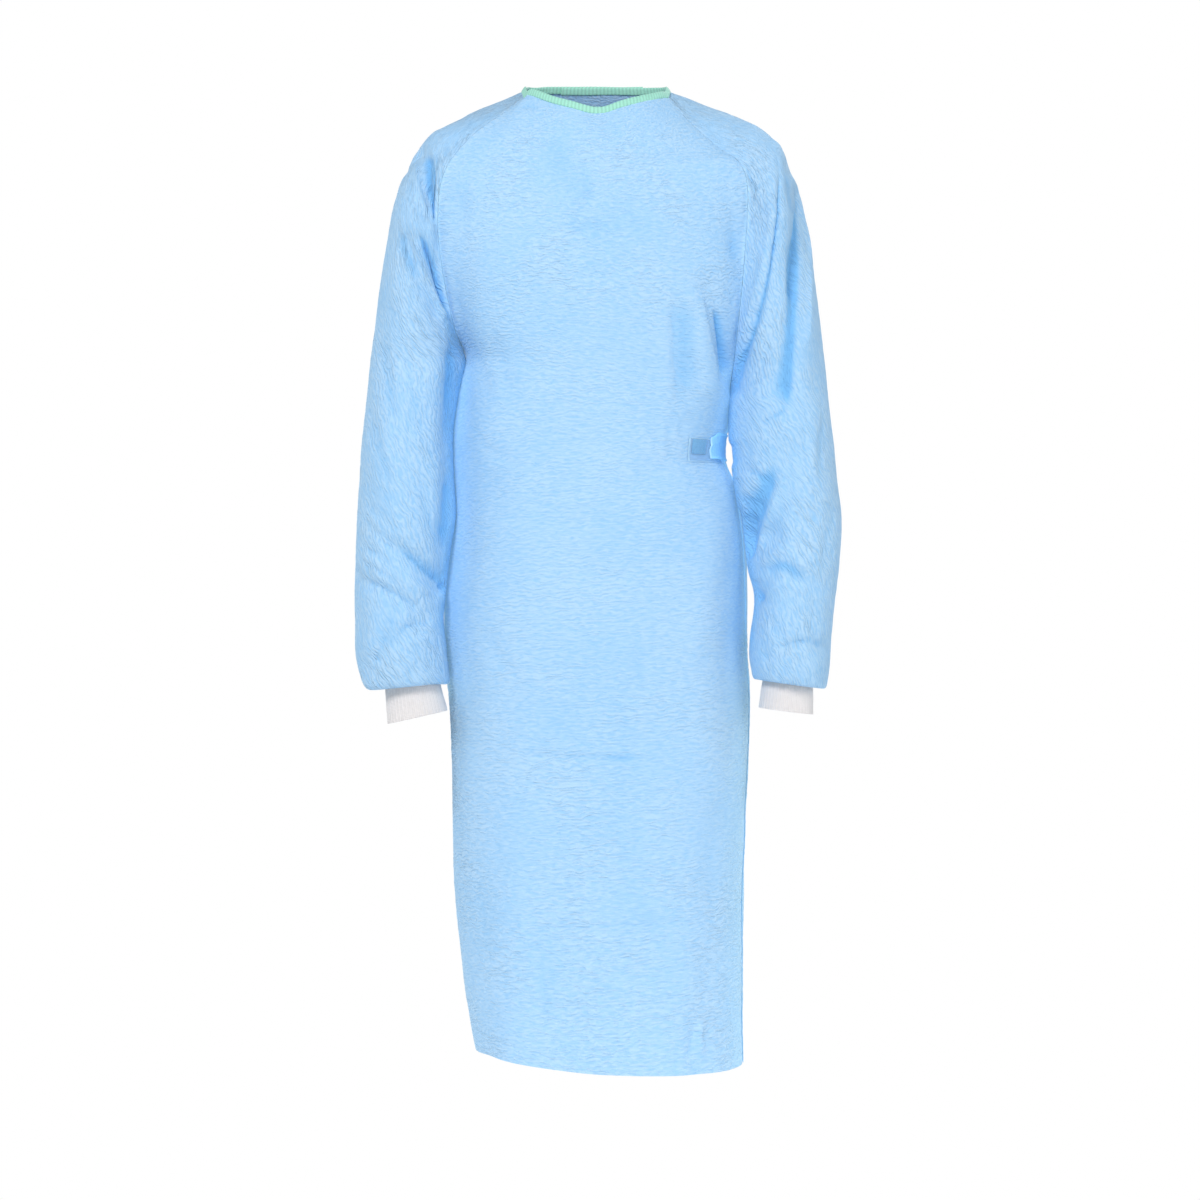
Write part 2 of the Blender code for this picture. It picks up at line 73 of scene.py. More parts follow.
# Heights of the top and bottom edges at the waist. The tie's end is a little lower, and
# its two long edges are pressed folds.
PATCH_EDGES = (-413, -440)
SQUARE_EDGES = (-414.5, -431)
TIE_EDGES = (-405, -436)
TIE_END_DROP = 6
TIE_END = 0.12
PRESSED_HEIGHT = 0.3
PRESSED_EDGES = (0.10, 0.90)
PRESSED_SOFT = 0.04

# Levels count the sections down from the neck, the same for the body and the sleeves
# down to the underarm
UNDERARM = 12
CUFF_SEAM = 23
HEM = 28

# How far the hem hangs lower at the right side than in the CAD solids, and where it starts
HEM_CORNER = 7
HEM_CORNER_LEVELS = 3
HEM_CORNER_FROM = 0.55

# How much fuller than a round the body's corners are, from a level down
SQUARENESS = 0.035
SQUARE_FROM = 6

# Shares of a panel's and a sleeve's width over which the CAD solids' folds fade out
PANEL_FADE = 0.12
SLEEVE_FADE = 0.10

# Gap between a sleeve and the body at the underarm
UNDERARM_GAP = 0.4

# Millimetres from a seam over which creases, trims and the small wrinkles come in
CREASES_IN = (0, 7)
TRIMS_IN = (0, 20)
SMALL_IN = (1, 9)

# How squarely a place of a sleeve faces the front or the back where its folds and creases
# come in, and the share of its small wrinkles that is left at the outline
FOLDS_FACING = (0.05, 0.45)
CREASES_FACING = (0.05, 0.4)
OUTLINE_SHARE = 0.45

# Share of a sleeve's creases that is left at its mouth, and levels above it where they
# come in
MOUTH_SHARE = 0.25
MOUTH_LEVELS = (0.4, 1.6)

# Steps of level and place over which a surface's slope is taken, and the levels and places
# at which a surface is measured
BODY_STEPS = (0.1, 0.02)
SLEEVE_STEPS = (0.08, 0.008)
MEASURED_GRID = (300, 33)
MEASURED_MARGIN = 4
SIDE_LEVELS = 400

# Across a panel, positions run from -1 at the right side to 1 at the left, and past 1
# they go on round the left side to the front
UNDER_EDGE = -0.36
LAP_START = -0.74
LAP_FULL = -0.50

PATCH_SPAN = (0.48, 0.80)
SQUARE_SPAN = (0.505, 0.61)
TIE_SPAN = (1.355, 0.55)
TAB_SPAN = (0.72, 0.18)
TAB_LEVELS = (0.25, 1.2)

# Cuffs: ribs round each, how far they go up the sleeve, the gap to it, the heights of the
# ribs and of the unevenness, the seeds of that, and in metres how close points merge
RIB_COUNT = 44
CUFF_INSERT = 6.0
CUFF_CLEARANCE = 1.1
RIB_HEIGHT = 0.24
CUFF_UNEVEN = 0.35
CUFF_SEEDS = {"right": 67, "left": 71}
CUFF_MERGE = 0.00002

# Puckers of the neck tape, in millimetres: how far they push its faces out, lift its fold
# and draw in its lower edge, and how much the whole tape wanders. Its points merge within
# a distance in metres, and its line is softened over an odd number of columns.
PUCKER_OUT = 0.30
PUCKER_UP = 0.22
PUCKER_DOWN = 0.25
TAPE_WANDER = 0.5
TAPE_MERGE = 0.00001
TAPE_SOFTEN = 13

# Seeds of the tie's and the neck tape's noise
TIE_SEED = 97
BINDING_SEED = 83

# Round the folded neck tape: height over the neck edge and distance out
BINDING_SECTION = (
    (-0.7, 0.35), (0.2, 0.75), (1.6, 0.95), (3.6, 0.8), (5.6, 0.75), (7.0, 0.5), (7.8, -0.2),
    (8.0, -0.8), (7.7, -1.4), (6.8, -1.9), (5.4, -2.0), (3.4, -2.0), (1.4, -2.0), (-0.2, -1.9),
    (-0.8, -1.4), (-0.9, -0.4), (-0.7, 0.35),
)

# Grid sizes: columns across and rows down each sheet
FRONT_GRID = (120, 400)
UNDER_GRID = (70, 394)
OVER_GRID = (122, 394)
SLEEVE_GRID = (154, 300)
CUFF_GRID = (264, 26)
BINDING_GRID = (640, 16)
PATCH_GRID = (36, 26)
SQUARE_GRID = (40, 40)
TIE_GRID = (150, 24)
TAB_GRID = (48, 20)

# Walls and bevels of the trims, in metres, and the sharpest bends that are shaded smooth
# or left without a bevel, in degrees
WALLS = {
    "cuff": (0.0016, 0.0005),
    "film": (0.0003, 0.0),
    "square": (0.0006, 0.0002),
    "tie": (0.0009, 0.0002),
    "tab": (0.0009, 0.0002),
}
SMOOTH_ANGLE = 55
TAPE_SMOOTH_ANGLE = 60
BEVEL_ANGLE = 50

# Depths in a crease at which the painted fold shade starts and is full, then the same for the
# crinkle, whose share of that painted shade is small
FOLD_SHADE_ATTRIBUTE = "fold"
FOLD_SHADE_DEPTHS = (0.9, 6.0)
CRINKLE_DEPTHS = (0.0, 0.7)
CRINKLE_SHADE = 0.22

# How much stronger the crinkle is at the body's sides and where that comes in, how much
# deeper the sleeves' material is, and the depth of the material's bump in metres
SIDE_CRINKLE = 0.8
SIDE_CRINKLE_IN = (0.6, 0.95)
SLEEVE_DEPTH = 1.8
CRINKLE_BUMP = 0.0014

# Share of a pebbly look with painted shade: the skirt's sides beside the cuffs
PEBBLE_SHADE_ATTRIBUTE = "pebble"
PEBBLE_HEIGHTS = {"left": (-815, -650), "right": (-825, -650)}
PEBBLE_SIDES = {"left": (0.64, 0.90), "right": (0.58, 0.88)}
PEBBLE_SOFT = 45

# Share of a painted glow that stands in for light coming through the thin cloth: beside
# the sleeves, less of it down the skirt's left side, and along the raglan seams above the underarms
PAINTED_GLOW_ATTRIBUTE = "through"
GLOW_HEIGHTS = (-690, -345)
SKIRT_HEIGHTS = (-1150, -690)
SKIRT_GLOW = 0.8
GLOW_SOFT = 40
GLOW_SIDE = (0.52, 0.96)
GLOW_SEAM = (0.45, 5.0)
GLOW_SEAM_LEVELS = (UNDERARM - 6, UNDERARM, 2)
PAINTED_GLOW_COLOUR = (0.13, 0.22, 0.24)
TIE_PAINTED_GLOW = (0.05, 0.13, 0.20)

# Strength of the fine crinkle on the body, by height
PUFF_ATTRIBUTE = "puff"
PUFF = (
    (-1140, 1.7), (-950, 1.6), (-800, 1.15), (-600, 0.9),
    (-420, 0.72), (-300, 1.1), (-150, 1.35), (10, 1.1),
)
LOOKS = (FOLD_SHADE_ATTRIBUTE, PEBBLE_SHADE_ATTRIBUTE, PAINTED_GLOW_ATTRIBUTE, PUFF_ATTRIBUTE)

# How much fuller the cloth is where a sleeve lies against the body: the heights between
# which it is, how softly it ends, and the millimetres
SIDE_FILL = {"right": (-440, -345, 25, 2.4), "left": (-398, -368, 12, 4.0)}
SIDE_FILL_FROM = 0.7
UNDERARM_FILL = {
    "left": ((-560, -385, 30, 2.6), (-412, -366, 8, 3.0), (-486, -444, 8, 2.6)),
    "right": ((-690, -345, 30, 1.8),),
}
UNDERARM_FILL_IN = (0.36, 0.47)

# Painted shade on a sleeve's underside: how far round it comes in, its levels, and its
# shares of the painted fold shade, the pebbles and the painted glow
UNDERARM_IN = (0.41, 0.475)
UNDERARM_LEVELS = (UNDERARM - 0.5, UNDERARM + 7, 1.5)
UNDERARM_SHADE = 0.95
UNDERARM_PEBBLE_SHADE = 0.3
UNDERARM_GLOW = 0.4

# Colour of the film's welded rim and of the tie's cut end
FILM_RIM = (0.52, 0.77, 0.96)

# A seam's edge turns in: distance from the edge, and how far under the cloth it is
SEAM_ROLL = ((0.0, -0.08), (0.06, -0.02), (0.4, 0.0), (2.0, 0.0))

# Creases: places along one at which its distance is taken, how many widths
# away it ends, and the share of its height that is left at its two ends
CREASE_FIELDS = ("x0", "z0", "x1", "z1", "x2", "z2", "height", "width", "sharp")
CREASE_SCALE = 1.25
CREASE_PLACES = 10
CREASE_REACH = 3
CREASE_END = 0.15
SOFT_TAPER = 0.3

# A sharp crease is a wedge with a crisp fold line: it widens as it goes, ends abruptly and
# has one steep side. The height falls off as a power of the distance.
WEDGE_START = 0.55
WEDGE_GROWTH = 0.65
WEDGE_TAPER = 0.12
STEEP_SHARE = 0.32
STEEP_LEAST = 2.2
WEDGE_POWER = 1.25
SOFT_POWER = 1.8

# How much higher the neck edge stands at the front than in the CAD solids: x and rise
NECK_RISE = (
    (-83, 4), (-72, 6), (-58, 5.4), (-40, 4.6), (-24, 3.4), (-12, 1), (-2, -0.6), (9, -0.8),
    (17, 1), (26, 3.6), (40, 5.4), (54, 5), (66, 3.2), (83, 1),
)
NECK_RISE_LEVELS = 1.5


class Sections:
    """A short table of sections with named columns, in millimetres and degrees."""

    def __init__(self, fields, rows, first=0):
        self.fields = fields
        self.values = np.array(rows, dtype=float)
        self.first = first

    def at(self, field, level):
        """One column's value at a level, on a smooth curve through the sections."""
        v = self.values[:, self.fields.index(field)]
        v = np.concatenate(([2 * v[0] - v[1]], v, [2 * v[-1] - v[-2]]))
        last = len(v) - 3
        place = np.clip(np.asarray(level, dtype=float) - self.first, 0, last)
        k = np.minimum(np.floor(place).astype(int), last - 1)
        f = place - k
        a, b, c, d = v[k], v[k + 1], v[k + 2], v[k + 3]
        bend = 2 * a - 5 * b + 4 * c - d + f * (3 * (b - c) + d - a)
        return b + 0.5 * f * (c - a + f * bend)


# Down the middle of the body
TORSO = Sections(
    ("front_y", "back_y", "front_drop", "back_rise", "back_lift", "front_turn", "back_turn", "lap_edge"),
    (
        (-90, 64, 25, 3, 15, 68, 84, 0.50),
        (-99, 77, 20, 5, 13, 58, 72, 0.51),
        (-105, 87, 19, 5, 11, 50, 61, 0.52),
        (-109, 94, 16, 4, 9, 46, 53, 0.54),
        (-113, 100, 14, 3, 8, 44, 49, 0.56),
        (-117, 105, 11, 2, 6, 45, 48, 0.58),
        (-120, 109, 8, 1, 5, 48, 50, 0.61),
        (-124, 112, 6, 0, 4, 52, 53, 0.64),
        (-127, 114, 4, 0, 3, 56, 57, 0.67),
        (-129, 115, 2, 0, 2, 62, 62, 0.71),
        (-130, 115, 1, 0, 1, 69, 69, 0.75),
        (-130, 114, 0, 0, 0, 78, 78, 0.80),
        (-130, 112, 0, 0, 0, 90, 90, 0.86),
        (-130, 109, 0, 0, 0, 90, 90, 0.96),
        (-130, 106, 0, 0, 0, 90, 90, 1.06),
        (-130, 104, 0, 0, 0, 90, 90, 1.11),
        (-130, 104, 0, 0, 0, 90, 90, 1.12),
        (-131, 106, 0, 0, 0, 90, 90, 1.12),
        (-132, 110, 0, 0, 0, 90, 90, 1.11),
        (-133, 116, 0, 0, 0, 90, 90, 1.10),
        (-134, 121, 0, 0, 0, 90, 90, 1.09),
        (-133, 122, 1, 0, 0, 90, 90, 1.08),
        (-132, 121, 1, 0, 0, 90, 90, 1.07),
        (-131, 119, 2, 0, 0, 90, 90, 1.06),
        (-130, 117, 2, 0, 0, 90, 90, 1.05),
        (-130, 116, 3, 0, 0, 90, 90, 1.05),
        (-130, 115, 3, 0, 0, 90, 90, 1.04),
        (-130, 115, 4, 0, 0, 90, 90, 1.04),
        (-130, 115, 7, 0, 0, 90, 90, 1.04),
    ),
)

# Down the two sides of the body, from the underarms to the hem
SIDES = Sections(
    ("right_x", "right_z", "left_x", "left_z", "side_y"),
    (
        (150, -321, 155, -357, -4),
        (158, -358, 152, -380, 6),
        (166, -400, 149, -406, 14),
        (168, -435, 149, -436, 20),
        (168, -467, 161, -467, 22),
        (167, -500, 167, -500, 22),
        (171, -540, 172, -540, 22),
        (176, -590, 174, -590, 21),
        (176, -650, 174, -650, 20),
        (171, -713, 177, -713, 18),
        (168, -780, 175, -780, 16),
        (167, -850, 172, -850, 14),
        (165, -920, 170, -920, 12),
        (159, -990, 169, -990, 11),
        (153, -1038, 169, -1038, 10),
        (146, -1083, 169, -1086, 10),
        (140, -1112, 170, -1134, 10),
    ),
    first=UNDERARM,
)

# Down each sleeve: "in" is the raglan seam and then the inner side, "out" the outer side
SLEEVE_FIELDS = ("in_x", "in_z", "out_x", "out_z", "mid_y", "half_y", "turn")
SLEEVES = {
    "right": Sections(SLEEVE_FIELDS, (
        (83, -19, 86, -8, 0, 58, -55),
        (104, -37, 108, -18, -1, 63, -45),
        (126, -53, 137, -29, -2, 66, -34),
        (144, -69, 166, -42, -2, 68, -22),
        (158, -86, 189, -56, -3, 70, -9),
        (169, -102, 207, -77, -3, 73, 5),
        (177, -124, 218, -100, -3, 77, 17),
        (180, -152, 228, -127, -3, 80, 28),
        (180, -180, 237, -160, -3, 83, 34),
        (176, -215, 245, -204, -3, 85, 40),
        (170, -249, 252, -248, -3, 86, 50),
        (162, -285, 257, -293, -4, 86, 64),
        (150, -321, 262, -332, -4, 85, 90),
        (159, -354, 265, -367, -11, 83, 90),
        (166, -400, 270, -409, -18, 80, 90),
        (166, -446, 273, -452, -24, 77, 90),
        (163, -498, 275, -498, -28, 74, 90),
        (169, -539, 276, -539, -32, 71, 90),
        (174, -585, 277, -585, -36, 68, 90),
        (177, -618, 276, -622, -40, 65, 90),
        (174, -649, 276, -655, -43, 61, 90),
        (171, -678, 271, -680, -46, 55, 90),
        (170, -691, 262, -699, -48, 46, 90),
        (178, -690, 243, -697, -49, 30, 90),
    )),
    "left": Sections(SLEEVE_FIELDS, (
        (83, -19, 86, -8, 0, 58, -55),
        (103, -44, 111, -17, -1, 63, -45),
        (121, -63, 138, -28, -2, 66, -34),
        (142, -82, 168, -38, -2, 68, -22),
        (160, -95, 194, -51, -3, 70, -9),
        (170, -113, 213, -70, -3, 73, 5),
        (173, -138, 226, -94, -3, 77, 17),
        (172, -166, 236, -121, -3, 80, 28),
        (170, -198, 244, -158, -3, 83, 34),
        (167, -237, 250, -204, -3, 85, 40),
        (163, -279, 257, -254, -3, 86, 50),
        (159, -319, 262, -304, -4, 86, 64),
        (155, -357, 268, -353, -4, 85, 90),
        (158, -384, 271, -382, -11, 83, 90),
        (159, -417, 275, -419, -18, 80, 90),
        (164, -464, 279, -464, -24, 77, 90),
        (171, -507, 283, -507, -28, 74, 90),
        (176, -553, 280, -553, -32, 71, 90),
        (182, -597, 274, -597, -36, 68, 90),
        (177, -638, 270, -638, -40, 65, 90),
        (176, -660, 269, -664, -43, 61, 90),
        (178, -675, 267, -683, -46, 55, 90),
        (181, -687, 263, -698, -48, 46, 90),
        (190, -687, 250, -696, -49, 30, 90),
    )),
}

# Lower edge of each cuff
CUFF_ENDS = {
    "right": {"in_x": 169, "in_z": -723, "out_x": 240, "out_z": -739, "mid_y": -52, "half_y": 29},
    "left": {"in_x": 185, "in_z": -720, "out_x": 250, "out_z": -728, "mid_y": -52, "half_y": 29},
}

# The large folds that the CAD solids have too
FOLD_FIELDS = ("x0", "z0", "x1", "z1", "height", "width")
FRONT_FOLDS = (
    (130, -245, 146, -330, -7, 16),
    (112, -260, 128, -345, 4, 18),
    (152, -128, 166, -195, -3, 14),
    (-158, -150, -150, -290, -4, 16),
    (118, -436, 60, -455, -3, 20),
    (150, -470, 120, -640, 4, 24),
    (118, -1130, 126, -1010, -4, 16),
    (-90, -1125, -84, -860, 4, 30),
    (40, -1130, 30, -900, -4, 34),
    (-70, -340, -120, -470, -3, 26),
)
BACK_FOLDS = (
    (-110, -200, -60, -330, -5, 26),
    (95, -210, 55, -350, -4, 24),
    (-30, -430, -120, -520, -4, 24),
    (-60, -560, -80, -1130, 6, 34),
    (20, -600, 30, -1130, -6, 32),
    (100, -520, 110, -1130, 5, 30),
    (-130, -640, -128, -1110, -4, 24),
)
SLEEVE_FOLDS = {
    "right": {
        "front": (
            (-206, -82, -190, -160, -9, 12),
            (-210, -190, -178, -262, -8, 13),
            (-222, -120, -226, -250, 4, 14),
            (-228, -538, -184, -580, -5, 14),
            (-274, -570, -200, -612, -5, 12),
            (-256, -672, -206, -632, -4, 12),
            (-240, -430, -214, -520, 4, 20),
        ),
        "back": (
            (-200, -110, -190, -230, -6, 14),
            (-250, -400, -190, -450, -6, 16),
            (-262, -540, -196, -590, -5, 16),
            (-236, -300, -250, -520, 4, 20),
        ),
    },
    "left": {
        "front": (
            (212, -78, 204, -162, 5, 12),
            (204, -162, 180, -306, 6, 13),
            (192, -160, 176, -270, -5, 14),
            (236, -130, 238, -240, -7, 13),
            (222, -432, 196, -520, -7, 16),
            (196, -520, 188, -545, -5, 14),
            (196, -552, 244, -556, 4, 14),
            (200, -660, 262, -652, -4, 12),
            (232, -300, 246, -470, 4, 20),
        ),
        "back": (
            (200, -110, 190, -240, -6, 14),
            (254, -410, 190, -460, -6, 16),
            (262, -560, 196, -600, -5, 16),
            (236, -310, 250, -510, 4, 20),
        ),
    },
}

# Creases, each on a curve through three places of the front view. A negative height is
# a trough. sharp is 1 or -1 for a fold that is steep on one side.
FRONT_CREASES = (
    (118, -243, 127, -294, 139, -348, 2.5, 10, -1),
    (133, -260, 141, -299, 147, -341, -6, 9, 1),
    (80, -251, 81, -310, 86, -372, 1.4, 8, -1),
    (86, -240, 88, -310, 94, -388, -1.5, 8, 1),
    (97, -238, 99, -310, 105, -386, -2.1, 11, 0),
    (110, -246, 112, -310, 119, -378, -1.7, 11, 0),
    (160, -164, 157, -217, 151, -280, -1.6, 13, 0),
    (144, -136, 154, -181, 156, -217, -0.9, 12, 0),
    (86, -389, 82, -413, 84, -442, -1.6, 4, 1),
    (70, -386, 68, -412, 71, -437, -1.2, 4, 0),
    (99, -393, 97, -406, 99, -424, -1.0, 4, 0),
    (-17, -94, -9, -125, -5, -155, -1.0, 6, 0),
    (37, -153, 42, -175, 46, -192, -0.9, 5, 0),
    (50, -91, 45, -136, 29, -181, -1.2, 14, 0),
    (-66, -44, -34, -112, -4, -168, -1.8, 22, 0),
    (-48, -166, -6, -179, 44, -171, -1.7, 19, 0),
    (-96, -214, -60, -262, -48, -330, -1.4, 22, 0),
    (20, -640, 34, -760, 24, -880, -1.5, 26, 0),
    (-82, -28, -75, -32, -65, -35, -2.2, 4, 0),
    (-141, -103, -150, -136, -155, -181, -1.4, 9, 0),
    (-166, -188, -159, -243, -148, -305, -1.1, 8, 0),
    (-140, -294, -132, -333, -119, -372, -1.0, 7, 0),
    (-122, -271, -108, -327, -95, -372, -1.3, 8, 0),
    (-150, -350, -146, -406, -135, -473, -0.8, 9, 0),
    (-137, -406, -119, -428, -85, -442, -1.2, 7, 0),
    (-108, -770, -18, -773, 72, -776, -1.7, 3.2, 0),
    (-108, -965, 16, -963, 168, -954, -1.7, 3.2, 0),
    (-74, -969, -68, -981, -65, -990, -1.4, 4, 0),
    (-65, -985, -61, -1030, -59, -1070, -2.0, 14, 1),
    (-52, -1088, -34, -1104, -14, -1116, -1.5, 4, 0),
    (120, -1060, 117, -1094, 116, -1122, 4.0, 5, 1),
    (113, -1072, 108, -1098, 105, -1123, -1.6, 6, 0),
    (91, -1092, 90, -1109, 88, -1125, -1.6, 4, 0),
    (-130, -620, -108, -664, -74, -698, -1.4, 9, 0),
    (150, -552, 134, -620, 117, -709, -0.8, 12, 0),
    (-40, -552, 16, -569, 83, -558, -1.0, 12, 0),
    (-85, -485, -40, -507, 5, -509, -0.9, 10, 0),
    (-141, -889, -128, -957, -123, -1024, -1.4, 12, 0),
    (139, -822, 130, -900, 135, -968, -1.4, 12, 0),
)
BACK_CREASES = (
    (-120, -190, -96, -250, -60, -318, -3.0, 11, 1),
    (-142, -230, -128, -290, -104, -340, -2.6, 9, 0),
    (126, -205, 100, -262, 68, -322, -2.8, 11, -1),
    (146, -236, 134, -300, 112, -352, -2.4, 9, 0),
    (-84, -96, -70, -120, -44, -136, -1.4, 9, 0),
    (70, -104, 52, -128, 30, -140, -1.2, 9, 0),
    (-20, -150, -12, -200, -16, -262, -1.0, 12, 0),
    (-120, -420, -60, -446, 10, -440, -1.6, 11, 0),
    (-60, -470, -104, -520, -130, -600, -1.8, 11, 1),
    (40, -448, 84, -486, 104, -560, -1.8, 12, -1),
    (-96, -640, -104, -780, -98, -900, -1.8, 13, 0),
    (-24, -620, -34, -800, -26, -1010, -2.0, 14, 0),
    (62, -600, 70, -760, 66, -930, -1.6, 13, 0),
    (128, -660, 134, -820, 130, -1000, -1.6, 12, 0),
    (-66, -960, -60, -1040, -64, -1120, 1.8, 7, 1),
    (88, -1010, 92, -1070, 90, -1125, 1.6, 7, -1),
    (-130, -770, -20, -774, 120, -771, -0.6, 2.5, 0),
    (-130, -962, 10, -966, 140, -961, -0.7, 2.5, 0),
    (-30, -310, 20, -330, 70, -322, -0.9, 11, 0),
)
SLEEVE_CREASES = {
    "right": {
        "front": (
            (-183, -182, -201, -130, -205, -94, 3.2, 5, 1),
            (-174, -182, -191, -134, -197, -84, -6.5, 6.5, -1),
            (-190, -95, -184, -126, -177, -166, -3.0, 4, 1),
            (-180, -103, -175, -132, -169, -160, 1.5, 4, 0),
            (-209, -176, -197, -216, -167, -282, 4.8, 5, -1),
            (-202, -178, -187, -220, -158, -286, -7.5, 9.5, 1),
            (-226, -168, -214, -204, -191, -241, -3, 11, 0),
            (-161, -286, -166, -359, -169, -449, -5, 9, 0),
            (-169, -438, -170, -495, -174, -552, -4, 8, 0),
            (-182, -291, -182, -393, -184, -506, 2, 10, 0),
            (-225, -538, -202, -558, -177, -579, -4.0, 11, 1),
            (-232, -552, -211, -577, -182, -590, 2.5, 8, 0),
            (-184, -588, -177, -595, -175, -606, 2.5, 5, 0),
            (-182, -580, -176, -583, -170, -588, -4, 4, 0),
            (-272, -573, -234, -588, -199, -610, -2.6, 7, 1),
            (-270, -587, -234, -602, -204, -620, 1.6, 6, 0),
            (-271, -552, -245, -565, -220, -583, -2.2, 5, 1),
            (-271, -529, -247, -547, -218, -565, -1.8, 5, 0),
            (-268, -506, -243, -527, -218, -547, -1.5, 5, 0),
            (-266, -484, -245, -502, -227, -518, -1.2, 5, 0),
            (-222, -602, -238, -636, -252, -670, -2.2, 9, 1),
            (-236, -604, -252, -636, -263, -665, 1.6, 8, 0),
            (-226, -642, -211, -627, -188, -627, -2.4, 6, 1),
            (-218, -654, -207, -645, -188, -640, 1.6, 6, 0),
            (-218, -677, -197, -672, -172, -677, -1.4, 6, 0),
            (-247, -279, -238, -347, -225, -415, -2.2, 9, 0),
            (-261, -370, -247, -427, -227, -484, -2.0, 8, 0),
            (-218, -291, -209, -359, -195, -415, -1.8, 9, 0),
            (-200, -449, -191, -495, -182, -535, -2.0, 8, 0),
            (-182, -75, -182, -97, -177, -120, -1.6, 4, 0),
            (-167, -63, -170, -86, -169, -109, -1.6, 4, 0),
            (-155, -58, -159, -78, -161, -97, -1.4, 4, 0),
        ),
        "back": (
            (-196, -100, -198, -150, -184, -206, -3.0, 9, -1),
            (-214, -150, -206, -210, -186, -262, -2.4, 9, 0),
            (-240, -240, -226, -310, -196, -370, -1.8, 9, 0),
            (-252, -330, -238, -400, -212, -450, -1.8, 9, 0),
            (-262, -430, -236, -470, -190, -486, -2.4, 8, 1),
            (-268, -540, -240, -572, -196, -586, -2.6, 8, 1),
            (-260, -610, -236, -626, -200, -630, -1.8, 7, 0),
            (-176, -330, -174, -420, -176, -500, -2.0, 8, 0),
            (-250, -660, -228, -668, -196, -664, -1.6, 6, 0),
        ),
    },
    "left": {
        "front": (
            (202, -86, 194, -196, 157, -322, 2.6, 7, -1),
            (209, -88, 200, -202, 163, -330, -4.2, 6, 1),
            (171, -304, 162, -334, 153, -361, -5, 7, 1),
            (232, -122, 233, -190, 228, -262, -5, 7, -1),
            (234, -165, 227, -260, 215, -385, -5.8, 17, -1),
            (243, -132, 245, -222, 239, -313, 3, 8, 1),
            (216, -205, 208, -279, 195, -354, 2.5, 8, 0),
            (220, -97, 224, -132, 226, -160, -3, 7, 0),
            (169, -104, 175, -118, 183, -133, -2.6, 5, 1),
            (177, -136, 182, -147, 190, -161, -1.7, 5, 1),
            (173, -157, 177, -172, 182, -188, -1.5, 5, 0),
            (183, -399, 200, -390, 218, -380, -2.0, 5, 1),
            (220, -427, 197, -497, 176, -563, 3.5, 9, 1),
            (208, -432, 183, -497, 170, -552, -5.5, 11, 0),
            (168, -506, 175, -535, 182, -554, -5, 8, 0),
            (161, -440, 182, -454, 204, -472, -1.8, 5, 0),
            (161, -472, 177, -484, 193, -499, -2.0, 5, 0),
            (165, -497, 175, -506, 186, -515, -2.0, 4, 0),
            (186, -570, 212, -559, 242, -585, -3.6, 10, 0),
            (189, -554, 212, -544, 239, -568, 1.8, 6, 1),
            (192, -587, 215, -580, 241, -589, 1.8, 6, -1),
            (173, -583, 182, -591, 191, -600, -5, 7, 0),
            (174, -572, 183, -571, 192, -570, 1.5, 4, 0),
            (201, -659, 231, -644, 261, -655, -2.4, 6, 1),
            (204, -671, 232, -657, 257, -666, 2.0, 7, 0),
            (195, -619, 207, -633, 217, -648, -2.0, 5, 0),
            (182, -633, 191, -654, 198, -674, -1.5, 6, 0),
            (261, -370, 257, -427, 252, -484, -2.0, 8, 0),
            (268, -484, 263, -529, 257, -574, -1.6, 7, 0),
            (249, -586, 245, -620, 254, -648, -1.5, 7, 0),
            (239, -370, 236, -415, 232, -461, -1.6, 7, 0),
            (257, -188, 263, -256, 261, -313, -1.8, 7, 0),
        ),
        "back": (
            (196, -100, 200, -156, 184, -220, -3.0, 9, 1),
            (218, -150, 210, -214, 188, -270, -2.4, 9, 0),
            (244, -230, 230, -306, 198, -372, -1.8, 9, 0),
            (258, -330, 242, -400, 214, -448, -1.8, 9, 0),
            (264, -440, 238, -478, 194, -490, -2.4, 8, -1),
            (270, -548, 240, -578, 198, -592, -2.6, 8, -1),
            (262, -616, 238, -630, 202, -634, -1.8, 7, 0),
            (172, -340, 176, -430, 184, -506, -2.0, 8, 0),
            (256, -664, 230, -672, 200, -666, -1.6, 6, 0),
        ),
    },
}

# Where a shoulder's outline is lower or fuller than in the CAD solids, as creases
SLEEVE_TRIMS = {
    "right": (
        (-146, -26, -172, -38, -192, -52, -1.9, 22, 0),
        (-204, -78, -211, -90, -216, -102, 0.9, 10, 0),
        (-222, -106, -227, -124, -230, -142, -0.8, 14, 0),
    ),
    "left": (
        (146, -18, 190, -44, 226, -88, -1.9, 30, 0),
        (206, -66, 220, -90, 230, -120, -3.0, 18, 0),
    ),
}

# Small wrinkles of each cloth: the seed of its noise, the angle of the crinkle lines to
# the level, and the heights of the crinkle, of the longer ripples and of the wide dents.
WRINKLE_FIELDS = ("seed", "angle", "crinkle", "ripple", "dent")
WRINKLES = {
    "front": (11, -3, 0.26, 0.30, 1.8),
    "back": (23, -4, 0.40, 0.45, 2.2),
    "sleeve_right": (37, -60, 0.50, 0.85, 2.6),
    "sleeve_left": (53, 58, 0.50, 0.85, 2.6),
}

# Layers of the wrinkles' noise: the size of its cells across and down, and a shift, so
# that layers of one noise differ
LAYERS = {
    "dent": (95, 150, 0, 0),
    "small dent": (46, 60, 9, 5),
    "drift": (80, 110, 0, 0),
    "small drift": (24, 30, 7, 0),
    "crinkle": (12, 4.4, 0, 0),
    "wide crinkle": (22, 8, 31, 17),
    "ripple": (34, 13, 60, 40),
    "patch": (60, 60, 3, 11),
}
DRIFT = 26
SMALL_DRIFT = 5

